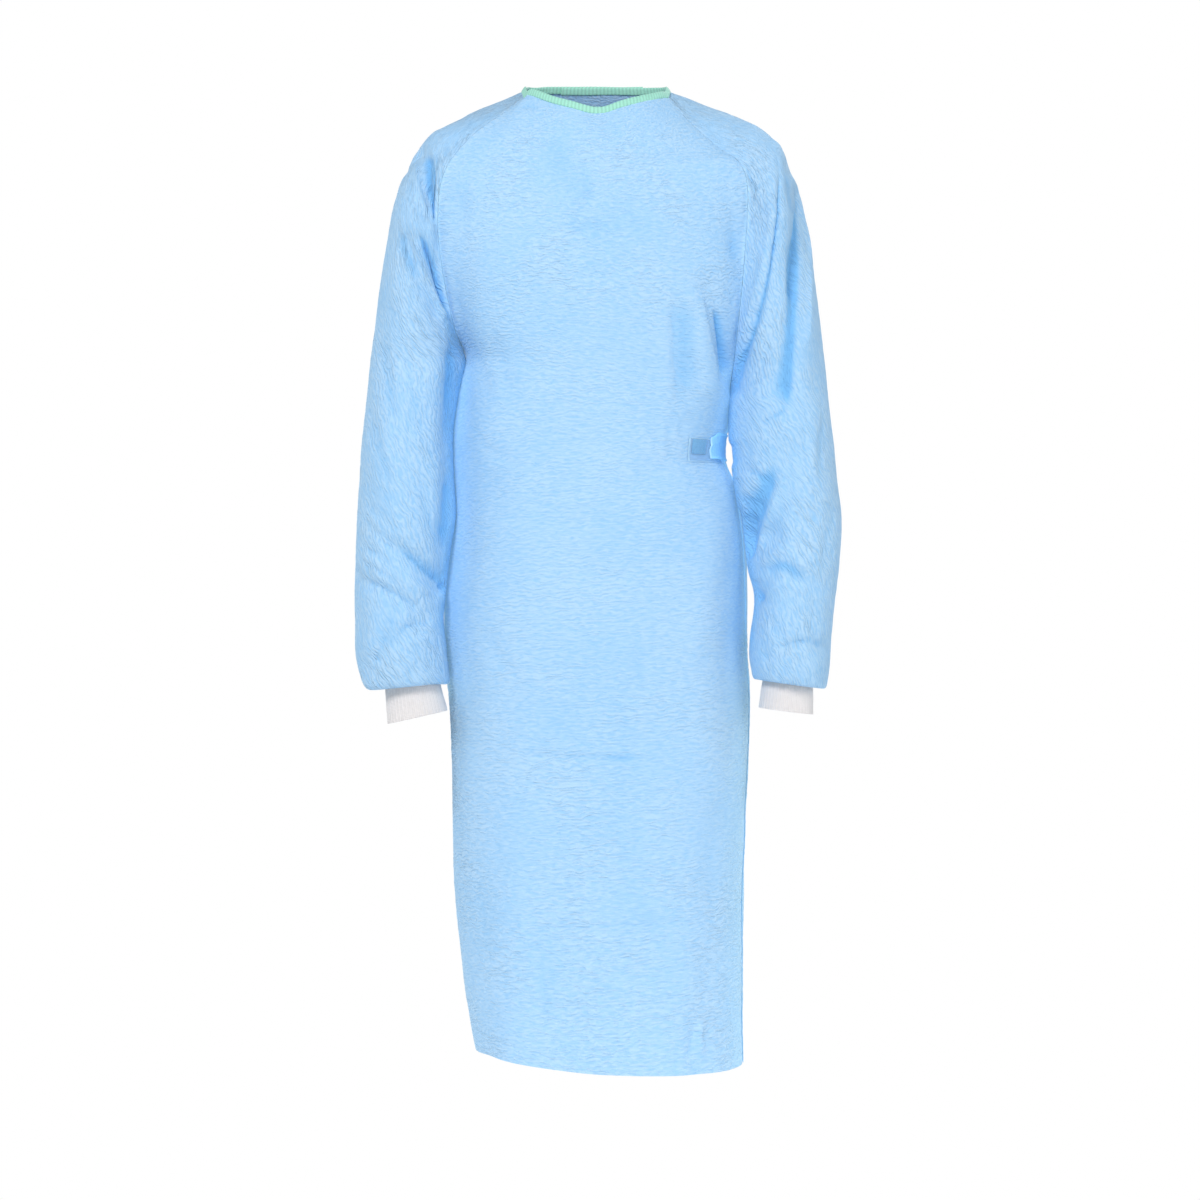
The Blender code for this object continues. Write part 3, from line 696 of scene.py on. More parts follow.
# Crepe of each cloth piece: the width and length that its UV map is scaled to, in metres,
# the turn of its lines, and the depth of its crinkle
CREPE = {
    "front": (0.5, 1.13, -3, 1.0),
    "back_left": (0.34, 1.13, -3, 1.0),
    "back_right": (0.52, 1.13, 3, 1.0),
    "sleeve_right": (0.36, 0.72, 60, SLEEVE_DEPTH),
    "sleeve_left": (0.36, 0.72, 58, SLEEVE_DEPTH),
}


# Lights: name, place, the setting that holds the power, and size, in metres
LIGHTS = (
    ("Key", (-1.1, -3.6, 1.5), "key", 1.3),
    ("Fill", (2.4, -2.6, -0.2), "fill", 2.0),
    ("Rear", (1.4, 3.4, 1.6), "rear", 2.4),
    ("Side_right", (-3.3, -0.3, 0.5), "side", 2.0),
    ("Side_left", (3.3, -0.3, 0.2), "side", 2.0),
)
LIGHT_AIM = (0, 0, -0.55)
CAMERA_X = 0.0046
SKY_COLOUR = (0.78, 0.92, 1, 1)
WHITE = (1, 1, 1, 1)
FLOOR_HEIGHT = -1.48


class GownCloth(bpy.types.PropertyGroup):
    """Cloth of the panels and sleeves."""

    thickness: bpy.props.FloatProperty(
        name="Thickness", description="Thickness of the crepe nonwoven",
        default=0.0005, min=0.0002, max=0.002, unit="LENGTH", precision=5)
    crinkle: bpy.props.FloatProperty(
        name="Crinkle", description="Share of the crepe's own small wrinkles",
        default=1.0, min=0, max=2, subtype="FACTOR")
    creases: bpy.props.FloatProperty(
        name="Creases", description="Share of the creases placed by hand",
        default=1.0, min=0, max=2, subtype="FACTOR")
    colour: bpy.props.FloatVectorProperty(
        name="Crepe", description="Colour of the crepe nonwoven",
        default=(0.472, 0.672, 0.885), size=3, min=0, max=1, subtype="COLOR")
    # Partly the fibre clouds' own colour and partly painted shade along the crinkle's lines
    shade: bpy.props.FloatVectorProperty(
        name="Crepe shade", description="Colour where the fibres lie thicker",
        default=(0.345, 0.59, 0.862), size=3, min=0, max=1, subtype="COLOR")
    # Painted shade, mixed in down the creases, in the crinkle's valleys and on the sleeves' undersides
    painted_fold_shade: bpy.props.FloatVectorProperty(
        name="Crepe folds", description="Colour down in the folds, where the cloth lies double",
        default=(0.215, 0.51, 0.87), size=3, min=0, max=1, subtype="COLOR")
    # Painted shade that goes with the pebbly cloth at the skirt's sides and the sleeves' undersides
    pebble_shade_colour: bpy.props.FloatVectorProperty(
        name="Crepe pebbles", description="Colour in the pebbly cloth at the skirt's sides",
        default=(0.15, 0.26, 0.46), size=3, min=0, max=1, subtype="COLOR")


class GownTrims(bpy.types.PropertyGroup):
    """Cuffs, neck binding and fastenings."""

    knit: bpy.props.FloatVectorProperty(
        name="Knit", description="Colour of the cuffs",
        default=(0.86, 0.785, 0.76), size=3, min=0, max=1, subtype="COLOR")
    binding: bpy.props.FloatVectorProperty(
        name="Binding", description="Colour of the neck tape",
        default=(0.36, 0.72, 0.57), size=3, min=0, max=1, subtype="COLOR")
    film: bpy.props.FloatVectorProperty(
        name="Film patch", description="Colour of the clear patch at the waist",
        default=(0.46, 0.72, 1.0), size=3, min=0, max=1, subtype="COLOR")
    square: bpy.props.FloatVectorProperty(
        name="Hook square", description="Colour of the hook-and-loop square",
        default=(0.22, 0.52, 1.0), size=3, min=0, max=1, subtype="COLOR")
    tie: bpy.props.FloatVectorProperty(
        name="Tie", description="Colour of the doubled tie strip",
        default=(0.32, 0.64, 1.0), size=3, min=0, max=1, subtype="COLOR")
    pucker: bpy.props.FloatProperty(
        name="Pucker pitch", description="Distance between the puckers of the neck tape",
        default=0.0045, min=0.002, max=0.02, unit="LENGTH", precision=4)


class GownStage(bpy.types.PropertyGroup):
    """Camera, lights and floor."""

    lens: bpy.props.FloatProperty(
        name="Lens", description="Focal length", default=103.4, min=20, max=300, unit="CAMERA")
    distance: bpy.props.FloatProperty(
        name="Distance", description="Camera distance from the gown",
        default=4.0, min=1, max=20, unit="LENGTH")
    height: bpy.props.FloatProperty(
        name="Height", description="Camera height in the gown's frame",
        default=-0.597, min=-3, max=3, unit="LENGTH")
    sky: bpy.props.FloatProperty(
        name="Sky", description="Strength of the light from all round",
        default=0.47, min=0, max=3, subtype="FACTOR")
    key: bpy.props.FloatProperty(
        name="Key light", description="Power of the large front light", default=99, min=0, unit="POWER")
    fill: bpy.props.FloatProperty(
        name="Fill light", description="Power of the low front light", default=26, min=0, unit="POWER")
    rear: bpy.props.FloatProperty(
        name="Rear light", description="Power of the light behind", default=34, min=0, unit="POWER")
    side: bpy.props.FloatProperty(
        name="Side lights", description="Power of the light at each side", default=20, min=0, unit="POWER")


def smooth_step(value, low, high):
    """0 below low, 1 above high, with a soft ramp between."""
    t = np.clip((value - low) / (high - low), 0, 1)
    return t * t * (3 - 2 * t)


def window(value, low, high, soft):
    """1 between low and high, with soft ends."""
    return smooth_step(value, low - soft, low) * smooth_step(high - value, -soft, 0)


def between(ends, share):
    """The value at a share of the way from one end to the other."""
    return ends[0] + (ends[1] - ends[0]) * share


def unit(vectors):
    """Vectors made one long."""
    return vectors / np.linalg.norm(vectors, axis=-1, keepdims=True)


def way_out(surface, level, place, steps):
    """Square to a surface that gives points for a level and a place across it."""
    step_down, step_along = steps
    down = surface(level + step_down, place) - surface(level - step_down, place)
    along = surface(level, place + step_along) - surface(level, place - step_along)
    return unit(np.cross(down, along))


def closest_on_run(from_x, from_z, run_x, run_z):
    """How far along a straight run the closest place is, 0 to 1, and how far away."""
    along = np.clip((from_x * run_x + from_z * run_z) / (run_x ** 2 + run_z ** 2), 0, 1)
    return along, np.hypot(from_x - along * run_x, from_z - along * run_z)


class Noise:
    """Seeded smooth noise over a plane, from about -1 to 1 with cells of size 1."""

    CELLS = 256

    def __init__(self, seed):
        turn = np.random.default_rng(seed).uniform(0, 2 * math.pi, (self.CELLS, self.CELLS))
        self.x, self.y = np.cos(turn), np.sin(turn)

    def at(self, x, y):
        column, row = np.floor(x).astype(int), np.floor(y).astype(int)
        total = np.zeros_like(x)
        for i in (0, 1):
            for j in (0, 1):
                from_x, from_y = x - column - i, y - row - j
                weight = 1.0
                for away in (1 - np.abs(from_x), 1 - np.abs(from_y)):
                    weight = weight * away ** 3 * (away * (6 * away - 15) + 10)
                cell = (column + i) % self.CELLS, (row + j) % self.CELLS
                total += weight * (self.x[cell] * from_x + self.y[cell] * from_y)
        return 1.5 * total


def fold_height(folds, x, z):
    """Height of the CAD solids' folds, in metres."""
    total = np.zeros_like(x)
    for fold in folds:
        f = dict(zip(FOLD_FIELDS, fold))
        run_x = (f["x1"] - f["x0"]) * MM
        run_z = (f["z1"] - f["z0"]) * MM
        _, away = closest_on_run(x - f["x0"] * MM, z - f["z0"] * MM, run_x, run_z)
        total += f["height"] * MM * np.exp(-(away / (f["width"] * MM)) ** 2)
    return total


def crease_height(creases, x, z):
    """Height of the listed creases at places of the front view, all in millimetres."""
    total = np.zeros(x.shape)
    share = np.linspace(0, 1, CREASE_PLACES)
    for crease in creases:
        c = dict(zip(CREASE_FIELDS, crease))
        lines = []
        for axis in "xz":
            start, middle, end = (c[axis + place] for place in "012")
            pull = 2 * middle - (start + end) / 2
            lines.append((1 - share) ** 2 * start + 2 * share * (1 - share) * pull + share ** 2 * end)
        line_x, line_z = lines
        reach = CREASE_REACH * c["width"]
        near = np.flatnonzero(
            (x > line_x.min() - reach) & (x < line_x.max() + reach)
            & (z > line_z.min() - reach) & (z < line_z.max() + reach))
        near_x, near_z = x[near], z[near]
        closest = np.full(len(near), np.inf)
        place = np.zeros(len(near))
        turn = np.zeros(len(near))
        for k in range(CREASE_PLACES - 1):
            run_x, run_z = line_x[k + 1] - line_x[k], line_z[k + 1] - line_z[k]
            from_x, from_z = near_x - line_x[k], near_z - line_z[k]
            along, away = closest_on_run(from_x, from_z, run_x, run_z)
            closer = away < closest
            closest = np.where(closer, away, closest)
            place = np.where(closer, share[k] + along * share[1], place)
            turn = np.where(closer, np.sign(run_x * from_z - run_z * from_x), turn)
        width, end_taper, power = c["width"], SOFT_TAPER, SOFT_POWER
        if c["sharp"]:
            width = width * (WEDGE_START + WEDGE_GROWTH * place)
            steep = np.maximum(STEEP_SHARE * width, STEEP_LEAST)
            width = np.where(turn * c["sharp"] < 0, steep, width)
            end_taper, power = WEDGE_TAPER, WEDGE_POWER
        taper = smooth_step(place, 0, SOFT_TAPER) * smooth_step(1 - place, 0, end_taper)
        strength = CREASE_END + (1 - CREASE_END) * taper
        total[near] += CREASE_SCALE * c["height"] * strength * np.exp(-(closest / width) ** power)
    return total


def layer(noise, name, across, down):
    """One layer of the wrinkles' noise, at places of the flat cloth."""
    wide, high, shift_across, shift_down = LAYERS[name]
    return noise.at(across / wide + shift_across, down / high + shift_down)


def wrinkle_heights(plan, across, down):
    """Heights of the crepe's dents, and of its crinkle and ripples, at places of the flat
    cloth, in millimetres."""
    w = dict(zip(WRINKLE_FIELDS, plan))
    dents, lines, patches = Noise(w["seed"]), Noise(w["seed"] + 1), Noise(w["seed"] + 2)
    dent = layer(dents, "dent", across, down) + 0.5 * layer(dents, "small dent", across, down)
    angle = math.radians(w["angle"])
    level = down * math.cos(angle) - across * math.sin(angle)
    side = across * math.cos(angle) + down * math.sin(angle)
    level = (level + DRIFT * layer(patches, "drift", side, level)
             + SMALL_DRIFT * layer(patches, "small drift", side, level))
    crinkle = layer(lines, "crinkle", side, level) + 0.5 * layer(lines, "wide crinkle", side, level)
    ripple = 0.35 - np.abs(layer(lines, "ripple", side, level)) * 1.6
    patchy = 0.85 + 0.7 * layer(patches, "patch", across, down)
    cloth = bpy.context.scene.gown_cloth
    small = w["crinkle"] * patchy * crinkle + w["ripple"] * (1.3 - patchy) * ripple
    return w["dent"] * dent * cloth.creases, small * cloth.crinkle


def side_edge(side, level):
    """Where the panels end at one side: x outwards, z, and the front and back y."""
    sleeve = SLEEVES[side]
    upper = level < UNDERARM
    x = np.where(upper, sleeve.at("in_x", level), SIDES.at(side + "_x", level))
    z = np.where(upper, sleeve.at("in_z", level), SIDES.at(side + "_z", level))
    middle = np.where(upper, sleeve.at("mid_y", level), SIDES.at("side_y", level))
    turn = np.radians(sleeve.at("turn", level))
    reach = np.where(upper, sleeve.at("half_y", level) * np.cos(turn), 0)
    return x * MM, z * MM, (middle - reach) * MM, (middle + reach) * MM


def body_surface(half, level, position):
    """Points of the body's outer face on its front or back half, as in the CAD solids."""
    left_x, left_z, left_front, left_back = side_edge("left", level)
    right_x, right_z, right_front, right_back = side_edge("right", level)
    turn = np.radians(TORSO.at(half + "_turn", level))
    angle = position * turn
    across = np.sin(angle) / np.sin(turn)
    share = (across + 1) / 2
    bulge = (np.cos(angle) - np.cos(turn)) / (1 - np.cos(turn))
    corner = HEM_CORNER * smooth_step(level, HEM - HEM_CORNER_LEVELS, HEM)
    corner = corner * smooth_step(-position, HEM_CORNER_FROM, 1)
    square = 1 + SQUARENESS * np.sin(math.pi * position) ** 2 * smooth_step(level, SQUARE_FROM, UNDERARM)
    edge_fade = smooth_step(1 - np.abs(position), 0, PANEL_FADE)
    x = np.where(position > 0, left_x, right_x) * across * square
    z = right_z * (1 - share) + left_z * share - corner * MM
    if half == "front":
        edge_y = right_front * (1 - share) + left_front * share
        centre_y = TORSO.at("front_y", level) * MM
        z = z - TORSO.at("front_drop", level) * MM * (1 - across ** 2)
        rise_x, rise = np.array(NECK_RISE).T
        fade = smooth_step(1 - level / NECK_RISE_LEVELS, 0, 1) * edge_fade
        z = z + np.interp(x / MM, rise_x, rise) * fade * MM
        folds = FRONT_FOLDS
    else:
        edge_y = right_back * (1 - share) + left_back * share
        centre_y = TORSO.at("back_y", level) * MM
        z = z + TORSO.at("back_lift", level) * MM
        z = z + TORSO.at("back_rise", level) * MM * (1 - across ** 2)
        folds = BACK_FOLDS
    y = edge_y + (centre_y - edge_y) * bulge * square
    away = unit(np.stack([x, y - 0.5 * edge_y, np.zeros_like(x)], axis=-1))
    height = fold_height(folds, x, z) * edge_fade
    return np.stack([x, y, z], axis=-1) + away * height[..., None]


def body_normal(half, level, position):
    """The way out of the body's outer face."""
    out = way_out(partial(body_surface, half), level, position, BODY_STEPS)
    return out if half == "front" else -out


class Measure:
    """Turns levels and positions of a surface into millimetres of cloth."""

    def __init__(self, surface, last_level, low, high):
        self.levels = np.linspace(0, last_level, MEASURED_GRID[0])
        places = np.linspace(0, 1, MEASURED_GRID[1])
        level, place = np.meshgrid(self.levels, places, indexing="ij")
        start = low(level) if callable(low) else low
        end = high(level) if callable(high) else high
        points = surface(level, start + (end - start) * place)
        self.width = np.linalg.norm(np.diff(points, axis=1), axis=-1).sum(axis=1) / MM
        steps = np.linalg.norm(np.diff(points, axis=0), axis=-1)
        steps = steps[:, MEASURED_MARGIN:-MEASURED_MARGIN].mean(axis=1) / MM
        self.down = np.concatenate(([0], np.cumsum(steps)))

    def width_at(self, level):
        return np.interp(level, self.levels, self.width)

    def down_at(self, level):
        return np.interp(level, self.levels, self.down)

    def level_for(self, share):
        return np.interp(share * self.down[-1], self.down, self.levels)


MEASURES = {half: Measure(partial(body_surface, half), HEM, -1, 1) for half in ("front", "back")}


def side_fill(z, position):
    """How much fuller the body is beside the sleeves than the CAD solids, in millimetres."""
    total = 0
    for side, sign in SIDE_SIGNS.items():
        low, high, soft, height = SIDE_FILL[side]
        at_side = smooth_step(sign * position, SIDE_FILL_FROM, 1)
        total = total + height * window(z, low, high, soft) * at_side
    return total


def body_relief(half, level, position):
    """Heights on the body in millimetres: of the listed creases, of the wide dents,
    and of the crinkle, which is stronger towards the sides."""
    base = body_surface(half, level, position) / MM
    measure = MEASURES[half]
    width = measure.width_at(level)
    from_seam = width / 2 * (1 - np.abs(position))
    creases = FRONT_CREASES if half == "front" else BACK_CREASES
    strength = bpy.context.scene.gown_cloth.creases
    crease = strength * crease_height(creases, base[..., 0], base[..., 2])
    crease = crease * smooth_step(from_seam, *CREASES_IN)
    dent, small = wrinkle_heights(WRINKLES[half], position * width / 2, measure.down_at(level))
    small = small * (1 + SIDE_CRINKLE * smooth_step(np.abs(position), *SIDE_CRINKLE_IN))
    fade = smooth_step(from_seam, *SMALL_IN)
    return crease, dent * fade + side_fill(base[..., 2], position), small * fade


def fold_shade_share(crease, small):
    """How far the cloth takes on the painted fold shade: full down in the creases, and a
    little in the crinkle's valleys."""
    return smooth_step(-crease, *FOLD_SHADE_DEPTHS) + CRINKLE_SHADE * smooth_step(-small, *CRINKLE_DEPTHS)


def seam_glow(level, from_seam):
    """Share of the painted glow along the raglan seams above the underarms."""
    share, reach = GLOW_SEAM
    return share * smooth_step(1 - from_seam / reach, 0, 1) * window(level, *GLOW_SEAM_LEVELS)


def body_looks(half, level, position):
    """Shares of the body cloth's looks, in the order of LOOKS."""
    crease, _, small = body_relief(half, level, position)
    z = body_surface(half, level, position)[..., 2] / MM
    pebble = through = np.zeros_like(z)
    for side, sign in SIDE_SIGNS.items():
        # Pebbly cloth with painted shade at the skirt's sides
        at_side = smooth_step(sign * position, *PEBBLE_SIDES[side])
        pebble = pebble + window(z, *PEBBLE_HEIGHTS[side], PEBBLE_SOFT) * at_side
        # A painted glow beside the sleeves, down the skirt's left side and along the raglan seams
        beside = window(z, *GLOW_HEIGHTS, GLOW_SOFT)
        if side == "left":
            beside = np.maximum(beside, SKIRT_GLOW * window(z, *SKIRT_HEIGHTS, GLOW_SOFT))
        through = through + beside * smooth_step(sign * position, *GLOW_SIDE)
    from_seam = MEASURES[half].width_at(level) / 2 * (1 - np.abs(position))
    through = np.maximum(through, seam_glow(level, from_seam))
    return fold_shade_share(crease, small), pebble, through, np.interp(z, *np.array(PUFF).T)


def body_points(half, level, position, lift=0.0):
    """Points of the cloth on one half of the body, moved out square to it by lift."""
    height = sum(body_relief(half, level, position)) + lift
    out = body_normal(half, level, position)
    return body_surface(half, level, position) + out * (height * MM)[..., None]


def wrapped(points, level, position):
    """What points(half, level, position) gives round the back and, past position 1, on
    round the left side to the front."""
    back = points("back", level, np.minimum(position, 1))
    front = points("front", level, np.minimum(2 - position, 1))
    return np.where((position > 1)[..., None], front, back)


def wrap_points(level, position, lift):
    """Points of the cloth round the back and on past the left side."""
    return wrapped(partial(body_points, lift=lift), level, position)


def sleeve_surface(side, level, around):
    """Points of a sleeve's outer face, as in the CAD solids: around runs 0 to 1 from the
    front seam, over the outer side, to the back seam."""
    table = SLEEVES[side]
    sign = SIDE_SIGNS[side]
    lift = np.where(around > 0.5, TORSO.at("back_lift", np.minimum(level, UNDERARM)), 0)
    inner = np.stack([table.at("in_x", level), table.at("in_z", level) + lift], axis=-1) * MM
    outer = np.stack([table.at("out_x", level), table.at("out_z", level)], axis=-1) * MM
    span = outer - inner
    width = np.linalg.norm(span, axis=-1)
    outwards = span / width[..., None]
    underarm = smooth_step(level, UNDERARM - 1, UNDERARM) - smooth_step(level, UNDERARM + 1, UNDERARM + 3)
    width = width - UNDERARM_GAP * MM * underarm
    turn = np.radians(table.at("turn", level))
    angle = -turn + around * (math.pi + 2 * turn)
    half_width = width / (1 + np.sin(turn))
    half_depth = table.at("half_y", level) * MM
    centre = outer - outwards * half_width[..., None]
    reach = half_width * np.sin(angle)
    x = centre[..., 0] + outwards[..., 0] * reach
    z = centre[..., 1] + outwards[..., 1] * reach
    depth = -half_depth * np.cos(angle)
    y = table.at("mid_y", level) * MM + depth
    away = unit(np.stack([outwards[..., 0] * reach, depth, outwards[..., 1] * reach], axis=-1))
    facing = smooth_step(np.abs(away[..., 1]), *FOLDS_FACING)
    seam_fade = np.where(level < UNDERARM, smooth_step(0.5 - np.abs(around - 0.5), 0, SLEEVE_FADE), 1)
    front_height = fold_height(SLEEVE_FOLDS[side]["front"], sign * x, z)
    back_height = fold_height(SLEEVE_FOLDS[side]["back"], sign * x, z)
    height = np.where(away[..., 1] < 0, front_height, back_height) * facing * seam_fade
    points = np.stack([x, y, z], axis=-1) + away * height[..., None]
    points[..., 0] *= sign
    return points


for side_name in SIDE_SIGNS:
    MEASURES["sleeve_" + side_name] = Measure(partial(sleeve_surface, side_name), CUFF_SEAM, 0, 1)


def sleeve_out(side, level, around):
    """The way out of a sleeve's outer face."""
    return SIDE_SIGNS[side] * way_out(partial(sleeve_surface, side), level, around, SLEEVE_STEPS)


def sleeve_relief(side, level, around):
    """Heights on a sleeve in millimetres: of the listed creases, of the wide dents,
    and of the crinkle. They fade out at the outline, the seams and the mouth."""
    base = sleeve_surface(side, level, around)
    out = sleeve_out(side, level, around)
    measure = MEASURES["sleeve_" + side]
    width = measure.width_at(level)
    from_seam = width * (0.5 - np.abs(around - 0.5))
    creases = SLEEVE_CREASES[side]
    x, z = base[..., 0] / MM, base[..., 2] / MM
    front = crease_height(creases["front"], x, z)
    back = crease_height(creases["back"], x, z)
    facing = smooth_step(np.abs(out[..., 1]), *CREASES_FACING)
    crease = np.where(out[..., 1] < 0, front, back) * facing * smooth_step(from_seam, *CREASES_IN)
    crease = crease * bpy.context.scene.gown_cloth.creases
    fill = sum(height * window(z, low, high, soft) for low, high, soft, height in UNDERARM_FILL[side])
    fill = fill * smooth_step(np.abs(around - 0.5), *UNDERARM_FILL_IN)
    fill = fill + crease_height(SLEEVE_TRIMS[side], x, z) * smooth_step(from_seam, *TRIMS_IN)
    plan = WRINKLES["sleeve_" + side]
    dent, small = wrinkle_heights(plan, (around - 0.5) * width, measure.down_at(level))
    mouth = MOUTH_SHARE + (1 - MOUTH_SHARE) * smooth_step(CUFF_SEAM - level, *MOUTH_LEVELS)
    fade = smooth_step(from_seam, *SMALL_IN) * mouth
    fade = fade * (OUTLINE_SHARE + (1 - OUTLINE_SHARE) * facing)
    return crease * mouth, dent * fade + fill, small * fade


def sleeve_points(side, level, around, lift=0.0):
    """Points of a sleeve's cloth, with its creases, dents and crinkle."""
    height = sum(sleeve_relief(side, level, around)) + lift
    return sleeve_surface(side, level, around) + sleeve_out(side, level, around) * (height * MM)[..., None]


def sleeve_looks(side, level, around):
    """Shares of a sleeve's looks, in the order of LOOKS."""
    crease, _, small = sleeve_relief(side, level, around)
    off_outer = np.abs(around - 0.5)
    under = smooth_step(off_outer, *UNDERARM_IN) * window(level, *UNDERARM_LEVELS)
    from_seam = MEASURES["sleeve_" + side].width_at(level) * (0.5 - off_outer)
    # Painted shade in the creases and on the underside, and a painted glow along the seams and the
    # underside
    fold = np.minimum(fold_shade_share(crease, small) + UNDERARM_SHADE * under, 1)
    through = np.maximum(seam_glow(level, from_seam), UNDERARM_GLOW * under)
    return fold, UNDERARM_PEBBLE_SHADE * under, through, np.ones_like(under)


def seam_columns(u, count, width, rolled_start, rolled_end):
    """Millimetres from the first edge for each column, and how far a rolled seam's
    columns lie under the cloth."""
    roll = np.array(SEAM_ROLL)
    edge = len(roll) - 1
    column = np.rint(u * count).astype(int)
    first = edge if rolled_start else 0
    last = count - edge if rolled_end else count
    low = roll[-1, 0] if rolled_start else 0
    high = width - roll[-1, 0] if rolled_end else width
    distance = low + (high - low) * (column - first) / (last - first)
    drop = np.zeros_like(distance)
    if rolled_start:
        at = np.minimum(column, edge)
        distance = np.where(column < first, roll[at, 0], distance)
        drop = np.where(column < first, roll[at, 1], drop)
    if rolled_end:
        at = np.minimum(count - column, edge)
        distance = np.where(column > last, width - roll[at, 0], distance)
        drop = np.where(column > last, roll[at, 1], drop)
    return distance, drop


def grid_sheet(name, grid, place):
    """A grid primitive whose points are moved to where place(u, v) puts them: u and v run
    0 to 1 across and down the sheet. place also gives the shares of the cloth's looks."""
    bpy.ops.object.select_all(action="DESELECT")
    columns, rows = grid
    bpy.ops.mesh.primitive_grid_add(x_subdivisions=columns, y_subdivisions=rows, size=2)
    sheet = bpy.context.object
    sheet.name = name
    flat = np.empty(len(sheet.data.vertices) * 3, dtype=np.float32)
    sheet.data.vertices.foreach_get("co", flat)
    flat = flat.reshape(-1, 3).astype(float)
    u, v = (flat[:, 0] + 1) / 2, (1 - flat[:, 1]) / 2
    points, looks = place(u, v)
    if not np.isfinite(points).all():
        raise RuntimeError(name + " has points that are not numbers")
    sheet.data.vertices.foreach_set("co", points.astype(np.float32).ravel())
    sheet.data.update()
    for look, share in zip(LOOKS, looks or ()):
        attribute = sheet.data.attributes.new(look, "FLOAT", "POINT")
        attribute.data.foreach_set("value", share.astype(np.float32))
    return sheet


def edit_all(*steps):
    """Runs edit-mode steps on the whole of the active piece."""
    bpy.ops.object.mode_set(mode="EDIT")
    bpy.ops.mesh.select_all(action="SELECT")
    for step in steps:
        step()
    bpy.ops.object.mode_set(mode="OBJECT")


def give_wall(piece, thickness, bevel=0.0):
    """Turns a sheet into a wall of cloth, inwards from its outer face."""
    wall = piece.modifiers.new("Wall", "SOLIDIFY")
    wall.thickness = thickness
    wall.offset = -1
    bpy.ops.object.modifier_apply(modifier=wall.name)
    if bevel:
        edge = piece.modifiers.new("Edge", "BEVEL")
        edge.width = bevel
        edge.segments = 2
        edge.limit_method = "ANGLE"
        edge.angle_limit = math.radians(BEVEL_ANGLE)
        bpy.ops.object.modifier_apply(modifier=edge.name)
    bpy.ops.object.shade_smooth_by_angle(angle=math.radians(SMOOTH_ANGLE))


def finish_piece(piece, node, material):
    """Gives a piece its material, and puts it in its CAD node's place."""
    piece.data.materials.clear()
    piece.data.materials.append(material)
    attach(piece, "root")
    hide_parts(node)


class Value:
    """A number that a node gives, on which Python's operators add Math nodes."""

    def __init__(self, finish, socket):
        self.finish = finish
        self.socket = socket

    def __add__(self, other):
        return self.finish.math("ADD", self, other)

    def __radd__(self, other):
        return self.finish.math("ADD", other, self)

    def __sub__(self, other):
        return self.finish.math("SUBTRACT", self, other)

    def __rsub__(self, other):
        return self.finish.math("SUBTRACT", other, self)

    def __mul__(self, other):
        return self.finish.math("MULTIPLY", self, other)

    def __rmul__(self, other):
        return self.finish.math("MULTIPLY", other, self)


